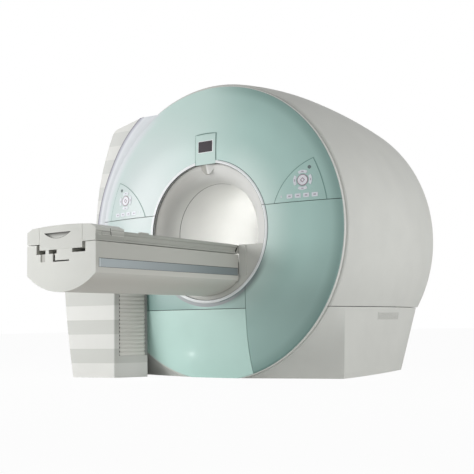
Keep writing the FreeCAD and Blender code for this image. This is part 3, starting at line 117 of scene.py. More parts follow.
class Paint:
    """A node material, built step by step round one Principled shader. The steps take and give
    numbers or sockets."""

    def __init__(self, name, base, roughness=0.4, metallic=0.0, coat=0.0, specular=0.5):
        self.material = bpy.data.materials.new(name)
        self.material.use_nodes = True
        self.tree = self.material.node_tree
        self.shader = self.tree.nodes["Principled BSDF"]
        for socket, value in (("Base Color", base), ("Roughness", roughness), ("Metallic", metallic),
                              ("Coat Weight", coat), ("Coat Roughness", 0.2),
                              ("Specular IOR Level", specular)):
            self.shader.inputs[socket].default_value = value
        self.base = base
        self.place = self.add("ShaderNodeTexCoord").outputs["Object"]
        separate = self.add("ShaderNodeSeparateXYZ")
        self.feed(separate.inputs[0], self.place)
        self.xyz = tuple(separate.outputs)

    def add(self, kind, **values):
        node = self.tree.nodes.new(kind)
        for name, value in values.items():
            setattr(node, name, value)
        return node

    def feed(self, socket, value):
        if isinstance(value, (int, float, tuple)):
            socket.default_value = value
        else:
            self.tree.links.new(value, socket)

    # arithmetic
    def step(self, operation, *values):
        node = self.add("ShaderNodeMath", operation=operation)
        for socket, value in zip(node.inputs, values):
            self.feed(socket, value)
        return node.outputs[0]

    def plus(self, first, second):
        return self.step("ADD", first, second)

    def minus(self, first, second):
        return self.step("SUBTRACT", first, second)

    def times(self, first, second):
        return self.step("MULTIPLY", first, second)

    def below(self, value, limit):
        return self.step("LESS_THAN", value, limit)

    def above(self, value, limit):
        return self.step("GREATER_THAN", value, limit)

    def size(self, value):
        return self.step("ABSOLUTE", value)

    def distance(self, first, second):
        return self.step("SQRT", self.plus(self.times(first, first), self.times(second, second)))

    def smooth(self, source, low, high):
        """0 at low and 1 at high, with soft ends."""
        node = self.add("ShaderNodeMapRange", interpolation_type="SMOOTHSTEP")
        falls = low > high
        for socket, value in (("From Min", min(low, high)), ("From Max", max(low, high)),
                              ("To Min", 1.0 if falls else 0.0), ("To Max", 0.0 if falls else 1.0)):
            node.inputs[socket].default_value = value
        self.feed(node.inputs["Value"], source)
        return node.outputs[0]

    # colour
    def noise(self, scale, detail=3.0):
        node = self.add("ShaderNodeTexNoise")
        node.inputs["Scale"].default_value = scale
        node.inputs["Detail"].default_value = detail
        self.feed(node.inputs["Vector"], self.place)
        return node.outputs["Fac"]

    def ramp(self, source, stops):
        node = self.add("ShaderNodeValToRGB")
        elements = node.color_ramp.elements
        while len(elements) < len(stops):
            elements.new(0.5)
        for element, (position, shade) in zip(elements, stops):
            element.position = position
            element.color = shade
        self.feed(node.inputs["Fac"], source)
        return node.outputs["Color"]

    def colour_from(self, source):
        self.feed(self.shader.inputs["Base Color"], source)

    def cover(self, share, over):
        """Lays another colour over the one so far."""
        node = self.add("ShaderNodeMix", data_type="RGBA")
        factor, under, top = node.inputs[0], node.inputs[6], node.inputs[7]
        self.feed(factor, share)
        self.feed(under, self.shader.inputs["Base Color"].links[0].from_socket)
        self.feed(top, over)
        self.colour_from(node.outputs[2])

    def tint(self, share, tone, *masks):
        """Lays a tone over the colour so far where all the masks allow it."""
        for mask in masks:
            share = self.times(mask, share)
        self.cover(share, colour(*tone))

    def mottle(self, amount=0.03, scale=3.0):
        """A faint, broad change of tone, as paint and moulded plastic have."""
        shades = [tuple(channel * level for channel in self.base[:3]) + (1,)
                  for level in (1 - amount, 1 + amount)]
        self.colour_from(self.ramp(self.noise(scale), list(zip((0.3, 0.7), shades))))
        return self

    def grain(self, scale=900.0, strength=0.04, distance=0.0004):
        """The fine skin of a textured finish."""
        bump = self.add("ShaderNodeBump")
        bump.inputs["Strength"].default_value = strength
        bump.inputs["Distance"].default_value = distance
        self.feed(bump.inputs["Height"], self.noise(scale, 2.0))
        self.feed(self.shader.inputs["Normal"], bump.outputs["Normal"])
        return self


def plastic(name, shade, roughness=0.42, coat=0.15, specular=0.5):
    return Paint(name, colour(*shade), roughness, coat=coat, specular=specular).mottle().grain()


def radius_of(paint):
    """Distance of the shaded point from the bore axis, with its x and its height over the axis."""
    across, _, high = paint.xyz
    up = paint.minus(high, AXIS_HEIGHT)
    return paint.distance(across, up), across, up


def round_front(name, shade):
    """Enamel of the round front: teal, with painted light and shade: a painted highlight washes its
    left rim out to near white, painted shade darkens its right rim, and painted shadow darkens the
    hollow under the bore ring."""
    paint = plastic(name, shade, 0.36, 0.3)
    smooth = paint.smooth
    radius, across, up = radius_of(paint)
    glare = paint.distance(paint.plus(across, 0.60), paint.minus(up, 0.28))
    rise = paint.step("DIVIDE", up, radius)
    under_ring = smooth(rise, -0.45, -1.0)
    shadow_edge = paint.plus(0.499, paint.times(under_ring, 0.022))
    # painted light: a lighter top and left half, a painted highlight (the glare) at the left, and a
    # lighter patch right of the bore ring
    paint.tint(0.75, (200, 222, 216), smooth(up, 0.40, 0.75), smooth(across, 0.45, -0.1))
    paint.tint(0.75, (205, 210, 211), smooth(glare, 0.85, 0.05))
    paint.tint(0.55, (208, 228, 222), smooth(radius, 0.72, 0.50), smooth(across, 0.10, 0.35))
    # painted shade: darker right half and foot, and painted shadow under the table at the left
    paint.tint(0.45, (135, 166, 160), smooth(radius, 0.75, 1.0), smooth(across, 0.0, 0.4))
    paint.tint(0.4, (125, 152, 147), smooth(up, -0.3, -0.6), smooth(across, 0.0, 0.3))
    paint.tint(0.8, (134, 168, 162), smooth(up, -0.27, -0.34), smooth(across, 0.0, -0.2))
    # painted highlight near white at the left rim; painted shade at the right and lower rim
    paint.tint(1.0, (214, 218, 222), smooth(radius, 0.93, 1.005), smooth(across, -0.35, -0.7))
    paint.tint(0.65, (108, 140, 134), smooth(radius, 0.94, 1.015), smooth(across, -0.1, 0.5))
    paint.tint(0.6, (92, 128, 121), smooth(radius, 1.008, 1.02), smooth(up, -0.4, -0.75))
    # painted shadow in the hollow under the bore ring
    paint.tint(0.85, (92, 101, 103), smooth(radius, 0.555, 0.497), smooth(rise, -0.2, -0.7),
               smooth(across, 0.0, 0.3))
    paint.tint(1.0, (150, 155, 158), under_ring, paint.below(radius, shadow_edge))
    return paint


def rim_cover():
    """Paint of the left rim cover: near white inside, and lilac grey to dark at its outer edge, which
    is painted shade of its rounded edge.
    """
    paint = plastic("rim_cover_paint_and_shade", (218, 221, 226), 0.5, 0.0, 0.3)
    widening = paint.times(paint.smooth(paint.xyz[2], *EAR_WIDENS), EAR_SPREAD)
    edge = paint.minus(radius_of(paint)[0], widening)
    paint.colour_from(paint.ramp(paint.smooth(edge, 1.022, 1.082), [
        (0.0, colour(214, 218, 222)), (0.35, colour(222, 225, 229)), (0.65, colour(200, 202, 210)),
        (0.88, colour(166, 165, 176)), (1.0, colour(104, 101, 110))]))
    return paint


def funnel_paint():
    """Lining of the front funnel, in shade at the left of its mouth."""
    paint = plastic("funnel_lining", (236, 236, 233), 0.55, 0.0, 0.3)
    _, across, up = radius_of(paint)
    slant = paint.minus(paint.times(up, 0.5), across)
    paint.tint(0.8, (176, 175, 169), paint.smooth(slant, 0.05, 0.5),
               paint.smooth(paint.xyz[1], 0.05, -0.05))
    return paint


def prow_paint():
    """Paint of the prow under the display: its left side in shade."""
    paint = plastic("prow_paint", (240, 240, 237), 0.55, 0.0, 0.3)
    paint.tint(1.0, (178, 177, 171), paint.smooth(paint.xyz[0], 0.006, -0.004))
    return paint


def rail_paint():
    """Blue-grey of the side rails, with painted shade that makes them darker towards the bore."""
    paint = Paint("side_rail_paint_and_shade", colour(158, 166, 168), 0.45, metallic=0.1)
    paint.colour_from(paint.ramp(paint.smooth(paint.xyz[1], -1.5, -0.1), [
        (0.0, colour(166, 175, 178)), (0.3, colour(155, 163, 166)), (1.0, colour(134, 143, 145))]))
    return paint


def rocker_paint():
    """Pale rocker with a lilac rim and a diamond of the same colour in its middle."""
    paint = plastic("rocker_plastic", (226, 226, 232), 0.35)
    across, _, high = paint.xyz
    away = paint.minus(paint.size(across), ROCKER_AT[0])
    up = paint.minus(high, ROCKER_AT[1])
    reach = paint.plus(paint.size(away), paint.size(up))
    diamond = paint.times(paint.above(reach, 0.010), paint.below(reach, 0.017))
    rim = paint.above(paint.distance(away, up), 0.0325)
    paint.tint(1.0, (150, 130, 142), paint.step("MAXIMUM", diamond, rim))
    return paint


def cap_paint():
    """Paint of the end cap, with shade in the scoop of its handle and on its sides."""
    paint = plastic("end_cap_paint", (216, 217, 211), 0.5, 0.0, 0.3)
    across, along, high = paint.xyz
    scoop_top = 0.8935
    paint.tint(1.0, (112, 112, 107),
               paint.below(paint.size(paint.minus(across, SCOOP_CENTRE[0])), 0.108),
               paint.above(along, TABLE_NEAR + 0.0005), paint.below(along, TABLE_NEAR + 0.0105),
               paint.smooth(high, 0.862, scoop_top), paint.below(high, scoop_top))
    paint.cover(paint.above(paint.size(across), TABLE_HALF - 0.0006),
                paint.ramp(paint.smooth(high, 0.83, 0.93), [
                    (0.0, colour(160, 161, 154)), (0.45, colour(176, 177, 170)),
                    (0.7, colour(196, 197, 190))]))
    return paint


def key_paint():
    """Pale keys, each with a lilac mark in its middle."""
    paint = plastic("key_plastic", (218, 222, 228), 0.35)
    aside, high = paint.size(paint.xyz[0]), paint.xyz[2]
    along_row = paint.step("MODULO", paint.minus(aside, ROW_START - ROW_PITCH / 2), ROW_PITCH)
    row_mark = paint.times(paint.below(paint.size(paint.minus(along_row, ROW_PITCH / 2)), 0.009),
                           paint.below(paint.size(paint.minus(high, ROW_HEIGHT)), 0.0045))
    away = paint.size(paint.minus(aside, ROCKER_AT[0]))
    up = paint.size(paint.minus(high, ROCKER_AT[1]))
    from_arc = paint.size(paint.minus(paint.step("MAXIMUM", away, up), 0.056))
    arc_mark = paint.times(paint.below(paint.step("MINIMUM", away, up), 0.008),
                           paint.below(from_arc, 0.0035))
    paint.tint(1.0, (172, 166, 178), paint.step("MAXIMUM", row_mark, arc_mark))
    return paint


def table_paint_and_shade():
    """Paint of the chassis: pale at its near end; grey along its sides and under it, which is painted
    shade.
    """
    paint = plastic("table_paint_and_shade", (222, 223, 217), 0.5, 0.0, 0.3)
    _, along, high = paint.xyz
    paint.cover(paint.smooth(along, TABLE_NEAR + 0.0005, TABLE_NEAR + 0.004),
                paint.ramp(paint.smooth(high, 0.60, 0.72), [
                    (0.0, colour(190, 187, 179)), (0.5, colour(207, 206, 199)),
                    (0.8, colour(204, 204, 197)), (1.0, colour(191, 191, 184))]))
    return paint


def banded(name, pale, dark):
    """Cover painted in level bands, the lowest one pale, with painted shade that makes it darker on
    the column's inner face.
    """
    paint = plastic(name, pale, 0.55, 0.0, 0.3)
    across, along, high = paint.xyz
    paint.tint(1.0, dark, paint.above(paint.step("MODULO", high, 2 * BAND_PITCH), BAND_PITCH))
    from_face = paint.plus(paint.times(paint.minus(across, SLOT_CORNER[0]), -math.sin(SLOT_TURN)),
                           paint.times(paint.minus(along, SLOT_CORNER[1]), math.cos(SLOT_TURN)))
    # painted shade on the column's inner face
    paint.tint(0.3, (96, 95, 90), paint.below(paint.size(from_face), 0.004))
    return paint


def vent_paint():
    """Paint of the vent's sheet, speckled by its holes."""
    paint = plastic("vent_sheet_paint", (196, 197, 192), 0.6, 0.0, 0.2)
    paint.colour_from(paint.ramp(paint.noise(260.0, 1.0), [
        (0.42, colour(176, 177, 172)), (0.52, colour(194, 195, 190))]))
    return paint


teal = round_front("teal_enamel_and_painted_light", (170, 203, 196))
# painted light: the service panel's enamel is the round front's teal painted lighter
teal_service_painted_lighter = plastic("service_enamel_painted_lighter", (190, 221, 213), 0.36, 0.3)
teal_plain = plastic("teal_moulding", (190, 214, 208), 0.4, 0.1)
seam_teal = plastic("seam_gasket", (116, 148, 142), 0.6, 0.0, 0.2)
warm = plastic("warm_grey_cover", (206, 207, 202), 0.6, 0.0, 0.25)
white = plastic("white_cover_paint", (232, 235, 236), 0.4)
ear_white = rim_cover()
column = banded("column_paint", (232, 232, 228), (212, 213, 208))
wing = banded("side_cover_paint", (224, 224, 220), (211, 212, 208))
bore_white = plastic("bore_lining", (235, 235, 233), 0.55, 0.0, 0.3)
prow_white = prow_paint()
funnel_white = funnel_paint()
seam_grey = plastic("lining_seam", (138, 138, 133), 0.6, 0.0, 0.2)
# dark seals and joints; the same dark colour is painted shade round the side rails and in the gaps at
# the table's far end
seal_and_shade_dark = plastic("dark_seal_and_painted_shade", (58, 58, 55), 0.7, 0.0, 0.2)
gap_teal = plastic("ring_gap_painted_shade", (112, 134, 132), 0.6, 0.0, 0.2)
line_grey = plastic("line_shadow", (112, 112, 107), 0.6, 0.0, 0.2)
table_grey = table_paint_and_shade()
bridge_grey = plastic("bridge_paint", (205, 206, 200), 0.45)
dark_table = plastic("tabletop_shell_paint", (171, 172, 165), 0.5, 0.0, 0.3)
cap_grey = cap_paint()
rail_end = plastic("rail_end_plastic", (206, 213, 215), 0.5, 0.0, 0.3)
rail = rail_paint()
grille = plastic("grille_plastic", (196, 197, 192), 0.5)
perforated = vent_paint()
slot_dark = plastic("slot_edge_rubber", (128, 132, 129), 0.6, 0.0, 0.2)
trim_pale = plastic("rim_trim_plastic", (222, 223, 219), 0.5, 0.0, 0.3)
black_glass = plastic("screen_glass", (60, 53, 59), 0.4, 0.0, 0.2)
key = key_paint()
rocker = rocker_paint()
lamp = Paint("lamp_lens", colour(96, 112, 112), 0.2, coat=0.5)
window = Paint("window_lens", colour(206, 205, 200), 0.15, coat=0.5)
rubber = plastic("bellows_rubber", (205, 204, 198), 0.6, 0.0, 0.3)
steel = Paint("dark_steel", colour(96, 98, 102), 0.4, metallic=0.6).mottle(0.08, 20.0)
bright = Paint("bright_steel", colour(190, 190, 192), 0.25, metallic=1.0)

LOOKS = {
    teal: ("front_cover_upper", "front_cover_right", "front_cover_left",
           "control_panel_right", "control_panel_left"),
    teal_service_painted_lighter: ("service_panel",),
    column: ("column_cover",),
    wing: ("column_side_cover",),
    warm: ("body_cover_right", "body_cover_left", "rear_cover", "skirt_right", "skirt_left",
           "rear_funnel"),
    funnel_white: ("front_funnel",),
    bore_white: ("bore_liner",),
    table_grey: ("table_chassis",),
    bridge_grey: ("bore_bridge",),
    dark_table: ("tabletop",),
    cap_grey: ("end_cap",),
    rail: ("side_rails",),
    grille: ("vent_grille",),
    window: ("light_window",),
    lamp: ("status_lamps",),
    rubber: ("lower_bellows", "upper_bellows"),
    bright: ("guide_rails", "lead_screw"),
}


def finish_of(name):
    for paint, names in LOOKS.items():
        if name in names:
            return paint.material
    if name.startswith("rocker"):
        return rocker.material
    if name.startswith(("arc_key", "row_key")):
        return key.material
    return steel.material


for name, piece in nodes.items():
    piece.data.materials.clear()
    piece.data.materials.append(finish_of(name))


# ------------------------------------------------------------------ kinds of piece
def add_piece(name, points, faces, paint, body, sharp=30, cuts=()):
    """A cut takes off what is outside it."""
    mesh = bpy.data.meshes.new(name)
    mesh.from_pydata([tuple(point) for point in points], [], faces)
    shape = bmesh.new()
    shape.from_mesh(mesh)
    for place, outward in cuts:
        bmesh.ops.bisect_plane(shape, geom=shape.verts[:] + shape.edges[:] + shape.faces[:],
                               plane_co=place, plane_no=outward, clear_outer=True)
        bmesh.ops.holes_fill(shape, edges=[edge for edge in shape.edges if edge.is_boundary])
    bmesh.ops.recalc_face_normals(shape, faces=shape.faces)
    shape.to_mesh(mesh)
    shape.free()
    mesh.shade_smooth()
    mesh.set_sharp_from_angle(angle=math.radians(sharp))
    mesh.materials.append(paint.material)
    piece = bpy.data.objects.new(name, mesh)
    bpy.context.scene.collection.objects.link(piece)
    if body:
        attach(piece, body)
    return piece


def loop_faces(rings, size, closed=False):
    """Quads between rings of points, with end caps where the run is open."""
    faces = []
    for ring in range(rings if closed else rings - 1):
        first, second = ring * size, (ring + 1) % rings * size
        for corner in range(size):
            after = (corner + 1) % size
            faces.append((first + corner, first + after, second + after, second + corner))
    if not closed:
        faces.append(tuple(range(size)))
        faces.append(tuple(range((rings - 1) * size, rings * size)))
    return faces


def ring_piece(name, profile, paint, body, start=0.0, sweep=360.0, steps=144):
    """A profile of (radius, y) turned about the bore axis, from an angle over a sweep."""
    closed = sweep >= 360.0
    rings = steps if closed else steps + 1
    points = []
    for ring in range(rings):
        angle = math.radians(start + sweep * ring / steps)
        for radius, y in profile:
            points.append((radius * math.cos(angle), y, AXIS_HEIGHT + radius * math.sin(angle)))
    return add_piece(name, points, loop_faces(rings, len(profile), closed), paint, body)


def front_y(x, up):
    """The round front's surface at a place across and over the bore axis."""
    outward = max(math.hypot(x, up) - DOME_INNER, 0.0)
    middle = math.sqrt(DOME_RADIUS ** 2 - (FRONT_RADIUS - DOME_INNER) ** 2)
    return middle - math.sqrt(DOME_RADIUS ** 2 - outward ** 2)


def arc_path(start, end, radius, steps=24):
    """Points of the shorter arc between two points; a positive radius bulges to the left of it."""
    first, last = Vector(start), Vector(end)
    chord = last - first
    side = Vector((-chord.y, chord.x)).normalized()
    rise = math.sqrt(radius ** 2 - (chord.length / 2) ** 2)
    centre = (first + last) / 2 - side * math.copysign(rise, radius)
    from_angle = math.atan2(first.y - centre.y, first.x - centre.x)
    turn = (first - centre).angle_signed(last - centre)
    return [(centre.x + abs(radius) * math.cos(from_angle - turn * step / steps),
             centre.y + abs(radius) * math.sin(from_angle - turn * step / steps))
            for step in range(steps + 1)]


def front_strip(name, path, width, lift, paint, depth=0.002):
    """A flat strip laid along a path on the round front."""
    points = []
    for index, (x, up) in enumerate(path):
        before, after = path[max(index - 1, 0)], path[min(index + 1, len(path) - 1)]
        run = Vector((after[0] - before[0], after[1] - before[1])).normalized()
        for side, back in ((-0.5, 0.0), (0.5, 0.0), (0.5, depth), (-0.5, depth)):
            place = (x - run.y * side * width, up + run.x * side * width)
            points.append((place[0], front_y(*place) - lift + back, AXIS_HEIGHT + place[1]))
    return add_piece(name, points, loop_faces(len(path), 4), paint, "scanner")


def front_plate(name, across, heights, lift, depth, bevel, paint, steps=14):
    """A plate that follows the round front, bevelled at its four sides."""
    def grid(inset, proud):
        for row in range(steps + 1):
            for step in range(steps + 1):
                x = across[0] + inset + (across[1] - across[0] - 2 * inset) * step / steps
                up = heights[0] + inset + (heights[1] - heights[0] - 2 * inset) * row / steps
                yield (x, front_y(x, up) - proud, AXIS_HEIGHT + up)
    side = steps + 1
    count = side * side
    points = [*grid(bevel, lift), *grid(0.0, lift - bevel), *grid(0.0, lift - depth)]
    faces = []
    for row in range(steps):
        for step in range(steps):
            corner = row * side + step
            square = (corner, corner + 1, corner + side + 1, corner + side)
            faces.append(square)
            faces.append(tuple(2 * count + index for index in square))
    border = [*range(steps), *(row * side + steps for row in range(steps)),
              *(steps * side + steps - index for index in range(steps)),
              *((steps - row) * side for row in range(steps))]
    for level in (0, 1):
        for index, corner in enumerate(border):
            after = border[(index + 1) % len(border)]
            faces.append((level * count + corner, level * count + after,
                          (level + 1) * count + after, (level + 1) * count + corner))
    used = sorted({index for face in faces for index in face})
    place = {old: new for new, old in enumerate(used)}
    return add_piece(name, [points[index] for index in used],
                     [tuple(place[index] for index in face) for face in faces],
                     paint, "scanner")


def bevelled_block(name, low, high, bevel, axis, paint, body):
    """A block whose outer face, along an axis and its sign, has bevelled edges."""
    flat = [index for index in range(3) if index != axis[0]]
    inner, outer = low[axis[0]], high[axis[0]]
    if axis[1] < 0:
        inner, outer = outer, inner
    shoulder = outer - math.copysign(bevel, axis[1])
    points = []
    for level, inset in ((inner, 0.0), (shoulder, 0.0), (outer, bevel)):
        for first, second in ((0, 0), (1, 0), (1, 1), (0, 1)):
            point = [0.0, 0.0, 0.0]
            point[axis[0]] = level
            for index, far in ((flat[0], first), (flat[1], second)):
                point[index] = high[index] - inset if far else low[index] + inset
            points.append(point)
    return add_piece(name, points, loop_faces(3, 4), paint, body)


def side_block(name, spread, near, far, low, high, bevel, axis, paint, body):
    """A bevelled block between two places across, given in either order."""
    return bevelled_block(name, (min(spread), near, low), (max(spread), far, high),
                          bevel, axis, paint, body)


# ------------------------------------------------------------------ bore mouth
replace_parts(ring_piece("bore_trim", [
    (RING_INNER, -0.050), (RING_INNER, RING_FRONT + 0.0016),
    (RING_INNER + 0.0008, RING_FRONT + 0.0004), (RING_INNER + 0.0024, RING_FRONT),
    (RING_OUTER - 0.0020, RING_FRONT), (RING_OUTER - 0.0006, RING_FRONT + 0.0006),
    (RING_OUTER, RING_FRONT + 0.0020), (RING_OUTER, -0.058)],
    white, "scanner", steps=192), "bore_ring")
ring_piece("mouth_seal", [(RING_INNER - 0.0010, -0.0678), (RING_INNER + 0.0004, -0.0678),
                          (RING_INNER + 0.0004, -0.0598), (RING_INNER - 0.0010, -0.0598)],
           seal_and_shade_dark, "scanner")
# painted shade: a dark teal strip in the gap outside the right half of the bore ring, where its outer
# wall is in shade
ring_piece("ring_gap", [(RING_OUTER - 0.001, -0.0646), (RING_OUTER + 0.0040, -0.0640),
                        (RING_OUTER + 0.0040, -0.0600), (RING_OUTER - 0.001, -0.0600)],
           gap_teal, "scanner", start=-78, sweep=156)
SEAM_IN, SEAM_OUT, SEAM_HALF = BORE_RADIUS - 0.0012, BORE_RADIUS - 0.0001, 0.0026
ring_piece("lining_seam", [(SEAM_IN, LINER_START - SEAM_HALF), (SEAM_OUT, LINER_START - SEAM_HALF),
                           (SEAM_OUT, LINER_START + SEAM_HALF), (SEAM_IN, LINER_START + SEAM_HALF)],
           seam_grey, "scanner", start=72, sweep=146)
ring_at_seam = math.sqrt(RING_INNER ** 2 - SEAM_UP ** 2)
for side, way in SIDES:
    side_block(f"ring_split_{side}", (ring_at_seam * way, (ring_at_seam + 0.0195) * way),
               RING_FRONT - 0.0004, RING_FRONT + 0.0002,
               AXIS_HEIGHT + SEAM_UP - 0.0016, AXIS_HEIGHT + SEAM_UP + 0.0016,
               0.0001, (1, -1), seal_and_shade_dark, "scanner")

# left rim cover: wider at its top, with a lip over the round front's rim
EAR_LIP, EAR_INNER, EAR_OUTER, EAR_STEPS = 1.011, 1.0285, 1.081, 96
EAR_START, EAR_SWEEP = 112, 75
ear_back = max(corner[1] for corner in nodes["left_rim_cover"].bound_box)
ear_points = []
for step in range(EAR_STEPS + 1):
    angle = math.radians(EAR_START + EAR_SWEEP * step / EAR_STEPS)
    level = AXIS_HEIGHT + EAR_OUTER * math.sin(angle)
    rise = min(max((level - EAR_WIDENS[0]) / (EAR_WIDENS[1] - EAR_WIDENS[0]), 0.0), 1.0)
    outer = EAR_OUTER + EAR_SPREAD * rise * rise * (3 - 2 * rise)
    for radius, y in ((EAR_LIP, -0.0028), (EAR_LIP, -0.0040), (1.020, -0.0050),
                      (1.0295, -0.0076), (1.036, -0.0086), (outer - 0.011, -0.0090),
                      (outer - 0.003, -0.0070), (outer, 0.0), (outer, ear_back),
                      (EAR_INNER, ear_back), (EAR_INNER, 0.002)):
        ear_points.append((radius * math.cos(angle), y, AXIS_HEIGHT + radius * math.sin(angle)))
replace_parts(add_piece("rim_cover", ear_points, loop_faces(EAR_STEPS + 1, 11), ear_white,
                      "scanner",
                      cuts=(((0, 0, EAR_TOP), (0, 0, 1)), ((0, 0, EAR_LOW), (0, 0, -1)))),
            "left_rim_cover")

# control panels: gasket lines round the panels, an indicator beside the keys
PANEL_INNER, PANEL_OUTER, PANEL_APEX, PANEL_CURVE = 0.552, 0.930, 0.424, 0.449
PANEL_LOW = SEAM_UP + 0.003
GASKET_WIDTH, GASKET_PROUD = 0.0045, 0.0017
for side, way in SIDES:
    apex = (math.sqrt(PANEL_OUTER ** 2 - PANEL_APEX ** 2) * way, PANEL_APEX)
    foot = (math.sqrt(PANEL_OUTER ** 2 - SEAM_UP ** 2) * way, PANEL_LOW)
    root = (PANEL_INNER * way, PANEL_LOW)
    front_strip(f"panel_line_inner_{side}", arc_path(root, apex, PANEL_CURVE * way),
                GASKET_WIDTH, GASKET_PROUD, seam_teal)
    front_strip(f"panel_line_outer_{side}", arc_path(apex, foot, PANEL_OUTER * way),
                GASKET_WIDTH if way > 0 else 0.0020, GASKET_PROUD, seam_teal)
    front_plate(f"panel_indicator_{side}", tuple(sorted((0.600 * way, 0.608 * way))),
                (0.178, 0.192), 0.0032, 0.0030, 0.0006, key, steps=4)

# display tongue over the bore
TONGUE_HALF, TONGUE_LOW, TONGUE_TOP = 0.085, 0.466, 0.682
SCREEN_HALF, SCREEN_LOW, SCREEN_TOP = 0.059, 0.555, 0.632
LINE_WIDTH = 0.0030
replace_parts(front_plate("display_tongue", (-TONGUE_HALF, TONGUE_HALF), (TONGUE_LOW, TONGUE_TOP),
                        0.0066, 0.0066, 0.0010, teal_plain), "display_housing")
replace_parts(front_plate("display_glass", (-SCREEN_HALF, SCREEN_HALF), (SCREEN_LOW, SCREEN_TOP),
                        0.0073, 0.0010, 0.0003, black_glass), "display_screen")
front_plate("display_bezel", (-SCREEN_HALF - 0.003, SCREEN_HALF + 0.006),
            (SCREEN_LOW - 0.004, SCREEN_TOP + 0.004), 0.0069, 0.0010, 0.0003, white)
for side, way in SIDES:
    edge, foot, length = (TONGUE_HALF + 0.0014) * way, TONGUE_LOW + 0.002, TONGUE_TOP - TONGUE_LOW
    front_strip(f"tongue_line_{side}", [(edge, foot + length * step / 16) for step in range(17)],
                LINE_WIDTH, 0.0016 if way > 0 else 0.0062, seam_teal,
                depth=0.0018 if way > 0 else 0.0064)
for level, up, bulge, paint in (("top", TONGUE_TOP + 0.0012, 0.8, seam_teal),
                                ("low", TONGUE_LOW - 0.0012, 8.0, line_grey)):
    reach = TONGUE_HALF + 0.0028
    front_strip(f"tongue_line_{level}", arc_path((-reach, up), (reach, up), bulge),
                LINE_WIDTH, 0.0062, paint, depth=0.0064)

# positioning-light housing under it: a prow whose two sides meet in a narrow ridge
TONGUE_UNDER, PROW_TIP = AXIS_HEIGHT + 0.4655, AXIS_HEIGHT + 0.403
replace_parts(add_piece("light_prow", [
    (-0.085, -0.037, TONGUE_UNDER), (-0.008, -0.0685, TONGUE_UNDER), (0.008, -0.0685, TONGUE_UNDER),
    (0.085, -0.037, TONGUE_UNDER), (0.085, -0.010, TONGUE_UNDER), (-0.085, -0.010, TONGUE_UNDER),
    (-0.018, -0.049, PROW_TIP), (0.018, -0.049, PROW_TIP),
    (0.018, -0.016, PROW_TIP), (-0.018, -0.016, PROW_TIP)],
    [(0, 1, 2, 3, 4, 5), (6, 7, 8, 9), (1, 2, 7, 6), (0, 1, 6),
     (2, 3, 7), (3, 4, 8, 7), (5, 0, 6, 9), (4, 5, 9, 8)],
    prow_white, "scanner", sharp=12), "light_housing")

# ------------------------------------------------------------------ table
# Lines on the end cap's sides; painted shadow framing the side rails, and the rails' end piece: near,
# far, low, high.
SIDE_LINES = (("cap_line_near", -1.450, -1.3385, 0.8846, 0.8862, line_grey),
              ("cap_line_split", -1.3385, -1.3350, 0.8680, 0.9045, seal_and_shade_dark),
              ("cap_line_far", -1.3345, -1.2240, 0.8930, 0.8946, line_grey),
              ("cap_clip_top", -1.4050, -1.3290, 0.8816, 0.8830, line_grey),
              ("cap_clip_low", -1.4050, -1.3290, 0.8620, 0.8634, line_grey),
              ("cap_clip_near", -1.4062, -1.4044, 0.8620, 0.8830, line_grey),
              ("cap_clip_far", -1.3296, -1.3276, 0.8620, 0.8830, seal_and_shade_dark))
RAIL_LINES = (("rail_shadow_low", -1.4285, -0.080, 0.6866, 0.6882, seal_and_shade_dark),
              ("rail_shadow_high", -1.4285, -0.080, 0.7350, 0.7374, seal_and_shade_dark),
              ("rail_shadow_near", -1.4290, -1.4262, 0.6866, 0.7374, seal_and_shade_dark),
              ("rail_end", -1.4262, -1.4160, 0.6882, 0.7350, rail_end),
              ("rail_end_inner", -1.4165, -1.4030, 0.6882, 0.7350, rail))
for side, way in SIDES:
    spread = ((TABLE_HALF - 0.001) * way, (TABLE_HALF + 0.0004) * way)
    for lines, body, slot in ((SIDE_LINES, "sliding_top", "tabletop_shell"),
                              (RAIL_LINES, "table_lift", "rail_grey")):
        for name, near, far, low, high, paint in lines:
            side_block(f"{name}_{side}", spread, near, far, low, high,
                       0.0002, (0, way), paint, body)

# end cap: the arc that bounds the scoop of its handle
SCOOP_HALF, SCOOP_STEPS = 35.2, 32
scoop = []
for step in range(SCOOP_STEPS + 1):
    angle = math.radians(-90 + SCOOP_HALF * (2 * step / SCOOP_STEPS - 1))
    for radius, y in ((SCOOP_RADIUS - 0.0012, -0.0003), (SCOOP_RADIUS + 0.0004, -0.0003),
                      (SCOOP_RADIUS + 0.0004, 0.001), (SCOOP_RADIUS - 0.0012, 0.001)):
        scoop.append((SCOOP_CENTRE[0] + radius * math.cos(angle), TABLE_NEAR + y,
                      SCOOP_CENTRE[1] + radius * math.sin(angle)))
add_piece("handle_edge", scoop, loop_faces(SCOOP_STEPS + 1, 4), line_grey,
          "sliding_top")

